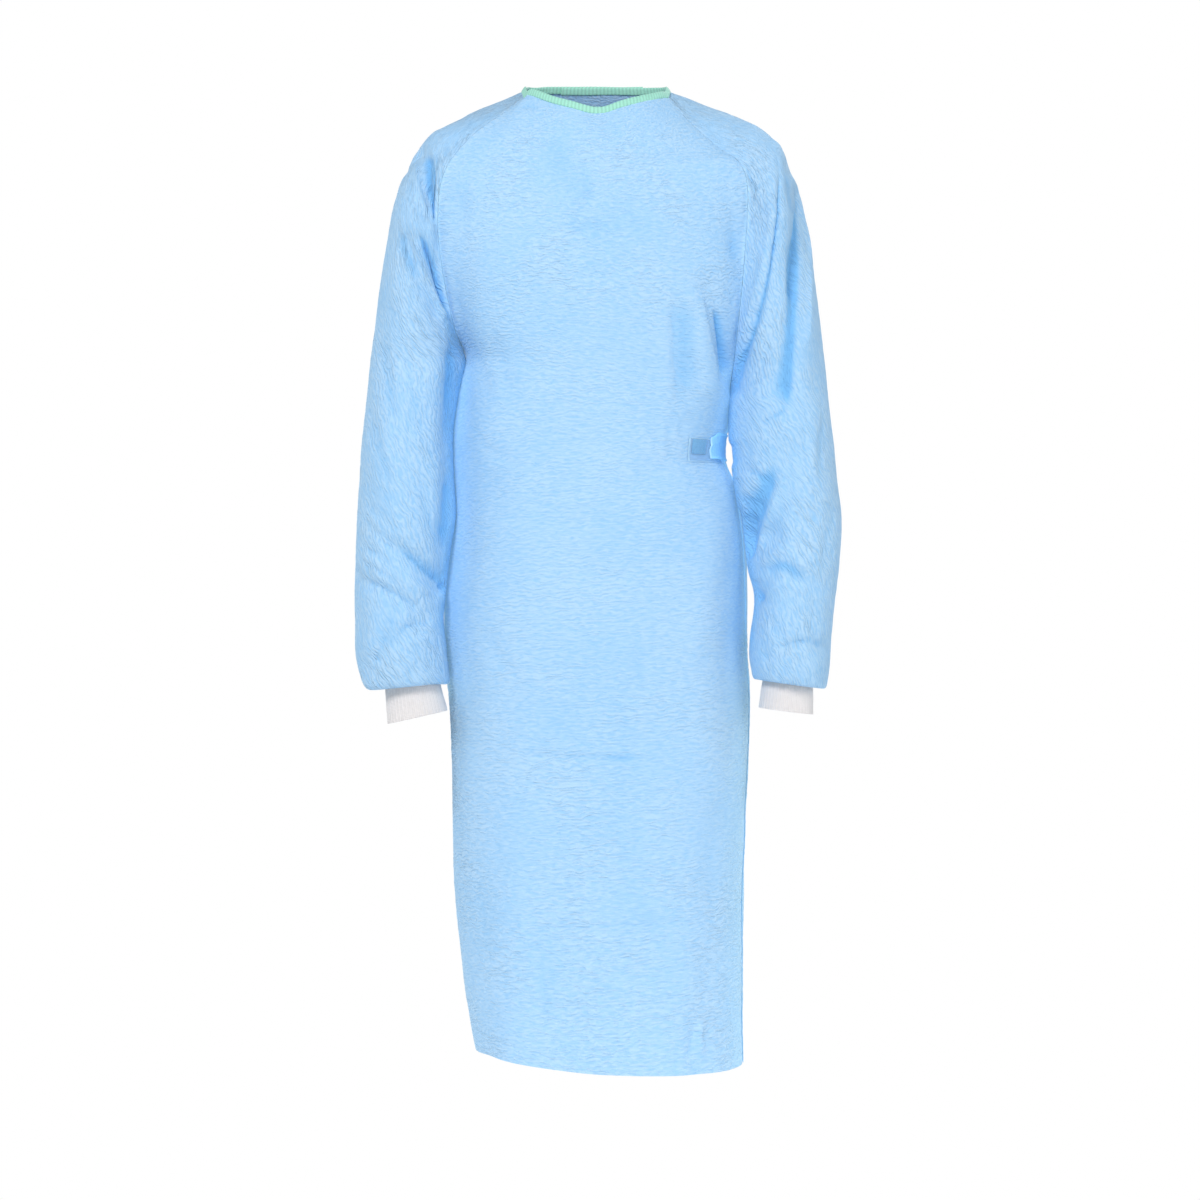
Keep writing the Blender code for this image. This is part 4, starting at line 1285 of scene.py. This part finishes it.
class Finish:
    """A material being made: its shader, its nodes and its patterns."""

    def __init__(self, name, **constants):
        self.material = bpy.data.materials.new(name)
        self.material.use_nodes = True
        self.tree = self.material.node_tree
        self.shader = self.tree.nodes["Principled BSDF"]
        self.shader.inputs["Metallic"].default_value = 0
        for socket, value in constants.items():
            self.shader.inputs[socket.replace("_", " ")].default_value = value

    def node(self, kind, output, settings=None, values=()):
        """A node of a type with its settings, and values or links for its sockets, in
        order or by name. Returns one of its outputs."""
        made = self.tree.nodes.new(kind)
        for name, value in (settings or {}).items():
            setattr(made, name, value)
        pairs = values.items() if isinstance(values, dict) else enumerate(values)
        for key, value in pairs:
            socket = made.inputs[key]
            if isinstance(value, Value):
                self.tree.links.new(value.socket, socket)
            else:
                socket.default_value = value
        return Value(self, made.outputs[output])

    def math(self, operation, *values):
        """A Math node's result."""
        return self.node("ShaderNodeMath", "Value", {"operation": operation}, values)

    def link(self, **inputs):
        """Links values to the shader's sockets."""
        for name, value in inputs.items():
            self.tree.links.new(value.socket, self.shader.inputs[name.replace("_", " ")])

    def place(self, source, scale, turn=0.0):
        """Texture coordinates, scaled and turned."""
        where = self.node("ShaderNodeTexCoord", source)
        values = {"Vector": where, "Scale": scale, "Rotation": (0, 0, turn)}
        return self.node("ShaderNodeMapping", "Vector", None, values)

    def noise(self, where, scale=1.0, detail=2.0, roughness=0.5, distortion=0.0):
        """Soft noise from 0 to 1."""
        values = {"Vector": where, "Scale": scale, "Detail": detail,
                  "Roughness": roughness, "Distortion": distortion}
        return self.node("ShaderNodeTexNoise", "Fac", None, values)

    def waves(self, where):
        """Wavy lines across Y that run together and part, from 0 to 1."""
        values = {"Vector": where, "Scale": 1.0, "Distortion": 12.0, "Detail": 2.0,
                  "Detail Scale": 1.3, "Detail Roughness": 0.55}
        return self.node("ShaderNodeTexWave", "Fac", {"bands_direction": "Y"}, values)

    def stretch(self, value, low, high):
        """A value's range from low to high, stretched to 0 to 1."""
        values = {"Value": value, "From Min": low, "From Max": high}
        return self.node("ShaderNodeMapRange", "Result", {"clamp": True}, values)

    def mix(self, factor, first, second):
        """A colour between two."""
        made = self.tree.nodes.new("ShaderNodeMix")
        made.data_type = "RGBA"
        for name, value in (("Factor_Float", factor), ("A_Color", first), ("B_Color", second)):
            socket = next(s for s in made.inputs if s.identifier == name)
            if isinstance(value, Value):
                self.tree.links.new(value.socket, socket)
            else:
                socket.default_value = value if name == "Factor_Float" else (*value, 1)
        return Value(self, next(s for s in made.outputs if s.identifier == "Result_Color"))

    def scaled(self, where, scale):
        """Texture coordinates scaled once more."""
        return self.node("ShaderNodeMapping", "Vector", None, {"Vector": where, "Scale": scale})

    def share(self, name):
        """One of the shares that the mesh holds."""
        return self.node("ShaderNodeAttribute", "Fac", {"attribute_name": name})

    def uv(self, axis):
        """A place on the UV map, from 0 to 1: X runs across the sheet, and Y up it."""
        where = self.node("ShaderNodeTexCoord", "UV")
        return self.node("ShaderNodeSeparateXYZ", axis, None, [where])

    def rows(self, axis, count):
        """Waves from -1 to 1 with a count of rows along an axis of the UV map."""
        return self.math("SINE", self.uv(axis) * (2 * math.pi * count))

    def bump(self, height, distance):
        """A normal raised by a height."""
        values = {"Height": height, "Distance": distance, "Strength": 1.0}
        return self.node("ShaderNodeBump", "Normal", None, values)


def tinted(colour, share):
    """A colour made lighter or darker by a share."""
    return tuple(min(1.0, max(0.0, part * share)) for part in colour)


def crepe_finish(name, width, length, angle, depth):
    """Crepe nonwoven: clouds of fibre, fine crinkle lines and a felted surface, with painted
    shade in the crinkle lines, the creases and the pebbly cloth, and a painted glow. The UV
    map is scaled to the piece's size in metres, so pattern scales are counts a metre."""
    cloth = bpy.context.scene.gown_cloth
    finish = Finish(name, Roughness=0.74, Sheen_Weight=0.32, Sheen_Roughness=0.35,
                    Sheen_Tint=(0.72, 0.90, 1, 1), Specular_IOR_Level=0.3, Emission_Strength=1.0)
    size = finish.place("UV", (width, length, 1), math.radians(angle))
    fold, pebble, through, puff = (finish.share(look) for look in LOOKS)
    lines = finish.waves(finish.scaled(size, (40, 68, 1)))
    creeps = finish.noise(finish.scaled(size, (122, 440, 1)), 1.0, 0.0, 0.4, 0.6)
    grain = finish.noise(size, 420.0, 0.0)
    cloud = finish.noise(size, 9.0, 3.0, 0.6)
    flock = finish.noise(size, 150.0, 2.0, 0.6)
    patch = finish.stretch(finish.noise(size, 14.0, 1.0), 0.3, 0.7)
    crinkle = lines * (0.03 + 0.27 * patch) + creeps * 0.42 + grain * (0.1 + 0.9 * pebble)
    crinkle = crinkle * (puff + 1.2 * pebble + 0.3 * fold)
    # The tone follows the fibre clouds, which are the cloth's own, and the crinkle's lines, whose darker
    # colour is painted shade
    fibres = cloud * 0.2 + flock * 0.1 + lines * depth * (0.06 + 0.16 * patch) + creeps * 0.4
    tone = finish.stretch(fibres, 0.21 + 0.07 * depth, 0.47 + 0.07 * depth)
    colour = finish.mix(tone, tuple(cloth.shade), tuple(cloth.colour))
    # Painted shade down in the creases, the crinkle's valleys and the sleeves' undersides
    colour = finish.mix(fold, colour, tuple(cloth.painted_fold_shade))
    # A little painted shade in the pebbly cloth
    colour = finish.mix(pebble * 0.1 * grain, colour, tuple(cloth.pebble_shade_colour))
    # The emission is the painted glow
    finish.link(Base_Color=colour, Roughness=0.70 + 0.14 * flock,
                Emission_Color=finish.mix(through, (0, 0, 0), PAINTED_GLOW_COLOUR),
                Normal=finish.bump(crinkle, CRINKLE_BUMP * depth * cloth.crinkle))
    return finish.material


def knit_finish():
    """White knit of the cuffs: rows of small stitches and a soft nap."""
    colour = tuple(bpy.context.scene.gown_trims.knit)
    finish = Finish("knit_finish", Roughness=0.9, Sheen_Weight=0.35, Sheen_Roughness=0.5,
                    Specular_IOR_Level=0.2)
    nap = finish.noise(finish.place("Object", (1, 1, 1)), 900.0, 2.0)
    stitch = finish.rows("X", 2 * RIB_COUNT) * 0.25 + finish.rows("Y", 30) * 0.25 + nap
    tone = finish.stretch(stitch, -0.1, 1.1)
    finish.link(Base_Color=finish.mix(tone, tinted(colour, 0.90), tinted(colour, 1.03)),
                Roughness=0.84 + 0.12 * nap, Normal=finish.bump(stitch, 0.00035))
    return finish.material


def binding_finish(length):
    """Mint neck tape: puckers at the stitches, with painted shade in their valleys."""
    trims = bpy.context.scene.gown_trims
    colour = tuple(trims.binding)
    finish = Finish("binding_finish", Roughness=0.6, Sheen_Weight=0.2, Specular_IOR_Level=0.35)
    wave = finish.math("COSINE", finish.uv("X") * (2 * math.pi * length / trims.pucker))
    fibre = finish.noise(finish.place("UV", (length, 0.03, 1)), 700.0, 2.0)
    # Painted shade in the puckers' valleys
    tone = finish.stretch(wave * 0.5 + fibre, -0.35, 1.2)
    finish.link(Base_Color=finish.mix(tone, tinted(colour, 0.80), tinted(colour, 1.12)),
                Roughness=0.52 + 0.16 * fibre, Normal=finish.bump(fibre, 0.0002))
    return finish.material


def film_finish():
    """Clear film patch: see-through, glossy, with a paler welded rim."""
    colour = tuple(bpy.context.scene.gown_trims.film)
    finish = Finish("film_finish", Roughness=0.3, Coat_Roughness=0.2, Specular_IOR_Level=0.5)
    across, up = (finish.math("MINIMUM", v, 1 - v) for v in (finish.uv("X"), finish.uv("Y")))
    rim = finish.stretch(0.045 - finish.math("MINIMUM", across, up), 0.0, 0.02)
    ripple = finish.noise(finish.place("UV", (0.05, 0.03, 1)), 260.0, 2.0)
    finish.link(Base_Color=finish.mix(rim, colour, FILM_RIM), Alpha=0.4 + 0.4 * rim,
                Roughness=0.24 + 0.2 * ripple, Normal=finish.bump(ripple, 0.0006))
    return finish.material


def square_finish():
    """Hook-and-loop square: a fine open mesh."""
    colour = tuple(bpy.context.scene.gown_trims.square)
    finish = Finish("square_finish", Roughness=0.55, Sheen_Weight=0.3)
    weave = finish.rows("X", 13) * finish.rows("Y", 15)
    loops = finish.noise(finish.place("UV", (0.018, 0.02, 1)), 1500.0, 1.0)
    height = weave * 0.5 + loops
    tone = finish.stretch(height, -0.1, 1.1)
    finish.link(Base_Color=finish.mix(tone, tinted(colour, 0.80), tinted(colour, 1.35)),
                Roughness=0.45 + 0.2 * loops, Normal=finish.bump(height, 0.0005))
    return finish.material


def tie_finish():
    """Doubled crepe strip: denser colour, a painted glow, a painted highlight along the pressed edges and
    a pale cut end.
    """
    colour = tuple(bpy.context.scene.gown_trims.tie)
    # The emission is a painted glow
    finish = Finish("tie_finish", Roughness=0.7, Sheen_Weight=0.2, Specular_IOR_Level=0.3,
                    Emission_Color=(*TIE_PAINTED_GLOW, 1), Emission_Strength=1.0)
    size = finish.place("UV", (0.2, 0.03, 1))
    up = finish.uv("Y")
    pressed_highlight = finish.stretch(0.12 - finish.math("MINIMUM", up, 1 - up), 0.0, 0.05)
    end = finish.stretch(0.018 - finish.uv("X"), 0.0, 0.004)
    fibre = finish.noise(size, 420.0, 3.0, 0.6)
    crinkle = finish.noise(finish.scaled(size, (260, 90, 1)), 1.0, 2.0, 0.5, 0.8)
    tone = finish.stretch(fibre * 0.5 + crinkle * 0.5, 0.35, 0.65)
    body = finish.mix(tone, tinted(colour, 0.84), tinted(colour, 1.12))
    # Painted highlight along the pressed edges
    pressed = finish.mix(pressed_highlight * 0.5, body, tinted(colour, 1.25))
    finish.link(Base_Color=finish.mix(end, pressed, FILM_RIM),
                Roughness=0.62 + 0.16 * fibre, Normal=finish.bump(crinkle + 0.3 * fibre, 0.0006))
    return finish.material


def tab_finish():
    """Hook-and-loop tab at the back of the neck: white, with fine hooks."""
    finish = Finish("tab_finish", Roughness=0.7, Sheen_Weight=0.4)
    hooks = finish.noise(finish.place("UV", (0.06, 0.03, 1)), 1300.0, 2.0, 0.6)
    tone = finish.stretch(hooks, 0.35, 0.65)
    finish.link(Base_Color=finish.mix(tone, (0.70, 0.74, 0.78), (0.86, 0.89, 0.92)),
                Roughness=0.6 + 0.25 * hooks, Normal=finish.bump(hooks, 0.0005))
    return finish.material


def crepe_piece(name, node, grid, place):
    """A panel or sleeve as a thin wall of crepe, in its CAD node's place."""
    piece = grid_sheet(name + "_cloth", grid, place)
    give_wall(piece, bpy.context.scene.gown_cloth.thickness)
    finish_piece(piece, node, crepe_finish(name + "_crepe", *CREPE[name]))


def flat_panel(half, name, node, grid, measure, ends, rolled_end):
    """A panel on one half of the body, from one position to another: its first edge is
    rolled in, and its other edge may be."""
    def place(u, v):
        level = measure.level_for(v)
        width = measure.width_at(level)
        distance, drop = seam_columns(u, grid[0], width, True, rolled_end)
        position = ends[0] + (ends[1] - ends[0]) * distance / width
        return body_points(half, level, position, drop), body_looks(half, level, position)

    crepe_piece(name, node, grid, place)


class GOWN_OT_front(bpy.types.Operator):
    """Build the front panel, one sheet from the neck to the hem"""

    bl_idname = "gown.front"
    bl_label = "Front Panel"

    def execute(self, context):
        flat_panel("front", "front", "front_panel", FRONT_GRID, MEASURES["front"], (-1, 1), True)
        return {"FINISHED"}


class GOWN_OT_backs(bpy.types.Operator):
    """Build the two back panels: the under layer and the upper layer that laps over it"""

    bl_idname = "gown.backs"
    bl_label = "Back Panels"

    def execute(self, context):
        ends = (1, UNDER_EDGE)
        under = Measure(partial(body_surface, "back"), HEM, *ends)
        flat_panel("back", "back_left", "back_panel_left", UNDER_GRID, under, ends, False)

        over = Measure(partial(wrapped, body_surface), HEM, partial(TORSO.at, "lap_edge"), -1)

        def place(u, v):
            level = over.level_for(v)
            width = over.width_at(level)
            distance, drop = seam_columns(u, OVER_GRID[0], width, False, True)
            edge = TORSO.at("lap_edge", level)
            position = edge - (edge + 1) * distance / width
            lift = LAP_LIFT * smooth_step(position, LAP_START, LAP_FULL)
            reach, soft = FREE_EDGE_REACH
            low = (LAP_LIFT - FREE_EDGE_LIFT) * smooth_step(reach - distance, 0, soft)
            height, wide, step = OVER_HEM
            hem = height * smooth_step(wide - distance, 0, step)
            front_looks = body_looks("front", level, np.minimum(2 - position, 1))
            back_looks = body_looks("back", level, np.minimum(position, 1))
            looks = [np.where(position > 1, *pair) for pair in zip(front_looks, back_looks)]
            return wrap_points(level, position, lift - low + hem + drop), looks

        crepe_piece("back_right", "back_panel_right", OVER_GRID, place)
        return {"FINISHED"}


class GOWN_OT_sleeves(bpy.types.Operator):
    """Build the two raglan sleeves, each closed by a seam on its underside"""

    bl_idname = "gown.sleeves"
    bl_label = "Sleeves"

    def execute(self, context):
        for side in SIDE_SIGNS:
            name = "sleeve_" + side
            measure = MEASURES[name]

            def place(u, v):
                level = measure.level_for(v)
                width = measure.width_at(level)
                distance, drop = seam_columns(u, SLEEVE_GRID[0], width, True, True)
                around = distance / width
                if side == "right":
                    around = 1 - around
                return sleeve_points(side, level, around, drop), sleeve_looks(side, level, around)

            crepe_piece(name, name, SLEEVE_GRID, place)
        return {"FINISHED"}


def cuff_ring(section, sign, angle, inset):
    """Points of a ring of a cuff: inset moves it in from the section's edge."""
    inner = np.array([section["in_x"], section["in_z"]])
    outer = np.array([section["out_x"], section["out_z"]])
    centre = (inner + outer) / 2
    half_width = np.linalg.norm(outer - inner) / 2 - inset
    outwards = unit(outer - inner)
    half_depth = section["half_y"] - inset
    x = centre[0] + outwards[0] * half_width * np.sin(angle)
    z = centre[1] + outwards[1] * half_width * np.sin(angle)
    y = section["mid_y"] - half_depth * np.cos(angle)
    return np.stack([sign * x, y, z], axis=-1) * MM


class GOWN_OT_cuffs(bpy.types.Operator):
    """Build the two knit cuffs with their ribs"""

    bl_idname = "gown.cuffs"
    bl_label = "Cuffs"

    def execute(self, context):
        material = knit_finish()
        for side, sign in SIDE_SIGNS.items():
            mouth = {field: float(SLEEVES[side].at(field, CUFF_SEAM)) for field in SLEEVE_FIELDS}
            soft = Noise(CUFF_SEEDS[side])

            def place(u, v):
                turn = u if side == "left" else 1 - u
                angle = -math.pi / 2 + 2 * math.pi * turn
                rib = RIB_HEIGHT * (1 - np.cos(2 * math.pi * RIB_COUNT * turn))
                uneven = soft.at(3 * np.cos(angle) + 8, 3 * np.sin(angle) + 3 * v + 8)
                inset = CUFF_CLEARANCE + rib + CUFF_UNEVEN * uneven
                top = cuff_ring(mouth, sign, angle, inset)
                low = cuff_ring(CUFF_ENDS[side], sign, angle, inset)
                axis = low.mean(axis=0) - top.mean(axis=0)
                length = np.linalg.norm(axis) / MM
                place_down = (v * (length + CUFF_INSERT) - CUFF_INSERT) / length
                return top + (low - top) * place_down[:, None], None

            piece = grid_sheet("cuff_" + side + "_knit", CUFF_GRID, place)
            edit_all(lambda: bpy.ops.mesh.remove_doubles(threshold=CUFF_MERGE))
            give_wall(piece, *WALLS["cuff"])
            finish_piece(piece, "cuff_" + side, material)
        return {"FINISHED"}


def neck_ring(level):
    """The line round the neck at a level, from the under layer's free edge at the back,
    by the left side and the front, to the upper layer's free edge."""
    def row(count, start, end):
        return np.full(count, float(level)), np.linspace(start, end, count)

    lap_edge = float(TORSO.at("lap_edge", 0))
    under = body_surface("back", *row(41, UNDER_EDGE, 1))
    left = sleeve_surface("left", *row(21, 1, 0))[1:-1]
    front = body_surface("front", *row(71, 1, -1))
    right = sleeve_surface("right", *row(21, 0, 1))[1:-1]
    levels, position = row(45, -1, lap_edge)
    lift = LAP_LIFT * MM * smooth_step(position, LAP_START, LAP_FULL)
    over = body_surface("back", levels, position) + body_normal("back", levels, position) * lift[:, None]
    return np.concatenate((under, left, front, right, over))


class GOWN_OT_binding(bpy.types.Operator):
    """Build the folded mint tape on the neck edge, puckered by its stitches"""

    bl_idname = "gown.binding"
    bl_label = "Neck Binding"

    def execute(self, context):
        ring, below = neck_ring(0), neck_ring(0.5)
        steps = np.linalg.norm(np.diff(ring, axis=0), axis=-1)
        run = np.concatenate(([0], np.cumsum(steps)))
        even = np.linspace(0, run[-1], BINDING_GRID[0] + 1)
        soften = np.hanning(TAPE_SOFTEN) / np.hanning(TAPE_SOFTEN).sum()
        spare = TAPE_SOFTEN // 2

        def along(points):
            line = np.stack([np.interp(even, run, points[:, k]) for k in range(3)], axis=-1)
            padded = np.pad(line, ((spare, spare), (0, 0)), mode="edge")
            return np.stack([np.convolve(padded[:, k], soften, "valid") for k in range(3)], axis=-1)

        line = along(ring)
        rise = unit(unit(along(ring - below)) + (0, 0, 1))
        out = unit(np.cross(rise, np.gradient(line, axis=0)))
        pitch = context.scene.gown_trims.pucker / MM
        section = np.array(BINDING_SECTION)
        uneven = Noise(BINDING_SEED)

        def place(u, v):
            column = np.rint((1 - u) * BINDING_GRID[0]).astype(int)
            row = np.rint(v * BINDING_GRID[1]).astype(int)
            height, reach = section[row, 0], section[row, 1]
            far = even[column] / MM
            phase = far / pitch + 0.25 * uneven.at(far / 14, far * 0)
            wave = np.cos(2 * math.pi * phase)
            strength = 0.6 + 0.6 * uneven.at(far / 9 + 5, far * 0)
            middle = np.exp(-((height - 3.2) / 2.6) ** 2)
            side = np.sign(reach + 0.8)
            reach = reach + side * strength * PUCKER_OUT * wave * middle
            height = height + PUCKER_UP * strength * wave * smooth_step(height, 4, 8)
            height = height - PUCKER_DOWN * strength * wave * smooth_step(1 - height, 0, 1.6)
            height = height + TAPE_WANDER * uneven.at(far / 40 + 2, far * 0)
            points = line[column] + (rise[column] * height[:, None] + out[column] * reach[:, None]) * MM
            return points, None

        piece = grid_sheet("neck_binding_tape", BINDING_GRID, place)
        edit_all(lambda: bpy.ops.mesh.remove_doubles(threshold=TAPE_MERGE))
        edit_all(
            lambda: bpy.ops.mesh.select_all(action="DESELECT"),
            lambda: bpy.ops.mesh.select_non_manifold(),
            lambda: bpy.ops.mesh.edge_face_add(),
            lambda: bpy.ops.mesh.select_all(action="SELECT"),
            lambda: bpy.ops.mesh.normals_make_consistent(inside=False))
        bpy.ops.object.shade_smooth_by_angle(angle=math.radians(TAPE_SMOOTH_ANGLE))
        finish_piece(piece, "neck_binding", binding_finish(float(even[-1])))
        return {"FINISHED"}


def level_at_left(z):
    """The level at which the body's left side stands at a height."""
    levels = np.linspace(UNDERARM, HEM, SIDE_LEVELS)
    return np.interp(-z, -SIDES.at("left_z", levels), levels)


class GOWN_OT_waist(bpy.types.Operator):
    """Build the film patch with its square, and the tie strip that is held on it"""

    bl_idname = "gown.waist"
    bl_label = "Waist Fastening"

    def execute(self, context):
        def patch(u, v):
            level, position = level_at_left(between(PATCH_EDGES, v)), between(PATCH_SPAN, u)
            ruffle = 0.2 * np.sin(9 * u) * np.sin(7 * v)
            return body_points("front", level, position, PATCH_LIFT + ruffle), None

        piece = grid_sheet("tie_patch_film", PATCH_GRID, patch)
        give_wall(piece, *WALLS["film"])
        finish_piece(piece, "tie_patch", film_finish())

        def square(u, v):
            level, position = level_at_left(between(SQUARE_EDGES, v)), between(SQUARE_SPAN, u)
            return body_points("front", level, position, SQUARE_LIFT), None

        piece = grid_sheet("tie_square_mesh", SQUARE_GRID, square)
        give_wall(piece, *WALLS["square"])
        finish_piece(piece, "tie_square", square_finish())

        soft = Noise(TIE_SEED)

        def tie(u, v):
            end = smooth_step(TIE_END - u, 0, TIE_END)
            top = TIE_EDGES[0] - TIE_END_DROP * end
            level = level_at_left(between((top, TIE_EDGES[1]), v))
            position = between(TIE_SPAN, u)
            first, last = PRESSED_EDGES
            pressed = smooth_step(first - v, 0, PRESSED_SOFT) + smooth_step(v - last, 0, PRESSED_SOFT)
            pleat = 0.6 * np.exp(-((v - 0.36) / 0.05) ** 2) * smooth_step(0.2 - u, 0, 0.1)
            wavy = 0.003 * np.sin(11 * v + 1) * end
            lift = between((TIE_END_LIFT, TIE_LIFT), smooth_step(1.08 - position, 0, 0.16))
            ripple = 0.35 * soft.at(u * 26, v * 3)
            lift = lift + PRESSED_HEIGHT * pressed + pleat + ripple
            return wrap_points(level, position + wavy, lift), None

        piece = grid_sheet("waist_tie_strip", TIE_GRID, tie)
        give_wall(piece, *WALLS["tie"])
        finish_piece(piece, "waist_tie", tie_finish())
        return {"FINISHED"}


class GOWN_OT_tab(bpy.types.Operator):
    """Build the hook-and-loop tab across the lapped edges at the back of the neck"""

    bl_idname = "gown.tab"
    bl_label = "Neck Tab"

    def execute(self, context):
        def place(u, v):
            corner = smooth_step(np.abs(u - 0.5) * 2, 0.82, 1.0)
            level = between(TAB_LEVELS, 0.5 + (v - 0.5) * (1 - 0.3 * corner ** 2))
            return body_points("back", level, between(TAB_SPAN, u), TAB_LIFT), None

        piece = grid_sheet("neck_tab_hook", TAB_GRID, place)
        give_wall(piece, *WALLS["tab"])
        finish_piece(piece, "neck_tab", tab_finish())
        return {"FINISHED"}


class GOWN_OT_declare(bpy.types.Operator):
    """Does nothing: no flat size of a cut of cloth is stated"""

    bl_idname = "gown.declare"
    bl_label = "Cut Sizes"

    def execute(self, context):
        return {"FINISHED"}


class GOWN_OT_stage(bpy.types.Operator):
    """Build the camera, the soft lights, the sky and the pale floor"""

    bl_idname = "gown.stage"
    bl_label = "Stage"

    def execute(self, context):
        scene = context.scene
        stage = scene.gown_stage
        scene.view_settings.view_transform = "Standard"
        bpy.ops.object.select_all(action="DESELECT")
        bpy.ops.object.camera_add(location=(CAMERA_X, -stage.distance, stage.height),
                                  rotation=(math.radians(90), 0, 0))
        camera = context.object
        camera.data.lens = stage.lens
        camera.data.sensor_width = 36
        scene.camera = camera

        for name, place, setting, size in LIGHTS:
            bpy.ops.object.light_add(type="AREA", location=place)
            light = context.object
            light.name = name
            light.data.energy = getattr(stage, setting)
            light.data.size = size
            aim = np.array(LIGHT_AIM) - np.array(place)
            light.rotation_euler = (math.atan2(math.hypot(aim[0], aim[1]), -aim[2]), 0,
                                    math.atan2(aim[1], aim[0]) - math.pi / 2)

        world = bpy.data.worlds.new("Studio")
        world.use_nodes = True
        scene.world = world
        tree = world.node_tree
        sky = tree.nodes["Background"]
        sky.inputs["Color"].default_value = SKY_COLOUR
        sky.inputs["Strength"].default_value = stage.sky
        seen = tree.nodes.new("ShaderNodeBackground")
        seen.inputs["Color"].default_value = WHITE
        seen.inputs["Strength"].default_value = 1.0
        rays = tree.nodes.new("ShaderNodeLightPath")
        both = tree.nodes.new("ShaderNodeMixShader")
        tree.links.new(rays.outputs["Is Camera Ray"], both.inputs[0])
        tree.links.new(sky.outputs[0], both.inputs[1])
        tree.links.new(seen.outputs[0], both.inputs[2])
        tree.links.new(both.outputs[0], tree.nodes["World Output"].inputs["Surface"])

        bpy.ops.mesh.primitive_circle_add(
            vertices=96, radius=1.0, fill_type="NGON", location=(0, 0, FLOOR_HEIGHT))
        floor = context.object
        floor.name = "Floor"
        finish = Finish("floor_finish", Roughness=0.9, Specular_IOR_Level=0.1,
                        Emission_Color=WHITE, Emission_Strength=0.5)
        soft = finish.noise(finish.place("Object", (1, 1, 1)), 3.0, 2.0)
        finish.link(Base_Color=finish.mix(soft, (0.90, 0.90, 0.90), (0.92, 0.92, 0.92)))
        floor.data.materials.append(finish.material)
        return {"FINISHED"}


class GOWN_PT_panel(bpy.types.Panel):
    """Sidebar panel of the gown"""

    bl_label = "Surgical Gown"
    bl_idname = "GOWN_PT_panel"
    bl_space_type = "VIEW_3D"
    bl_region_type = "UI"
    bl_category = "Gown"

    def draw(self, context):
        for settings in (context.scene.gown_cloth, context.scene.gown_trims, context.scene.gown_stage):
            box = self.layout.box()
            for name in settings.__annotations__:
                box.prop(settings, name)
        for operator in BUILD_ORDER:
            self.layout.operator(operator.bl_idname)


BUILD_ORDER = (
    GOWN_OT_stage,
    GOWN_OT_front,
    GOWN_OT_backs,
    GOWN_OT_sleeves,
    GOWN_OT_cuffs,
    GOWN_OT_binding,
    GOWN_OT_waist,
    GOWN_OT_tab,
    GOWN_OT_declare,
)
CLASSES = (GownCloth, GownTrims, GownStage, *BUILD_ORDER, GOWN_PT_panel)


def register():
    for made in CLASSES:
        bpy.utils.register_class(made)
    bpy.types.Scene.gown_cloth = bpy.props.PointerProperty(type=GownCloth)
    bpy.types.Scene.gown_trims = bpy.props.PointerProperty(type=GownTrims)
    bpy.types.Scene.gown_stage = bpy.props.PointerProperty(type=GownStage)


def unregister():
    del bpy.types.Scene.gown_stage
    del bpy.types.Scene.gown_trims
    del bpy.types.Scene.gown_cloth
    for made in reversed(CLASSES):
        bpy.utils.unregister_class(made)


def main():
    register()
    for operator in BUILD_ORDER:
        group, name = operator.bl_idname.split(".")
        getattr(getattr(bpy.ops, group), name)()


if __name__ == "__main__":
    main()
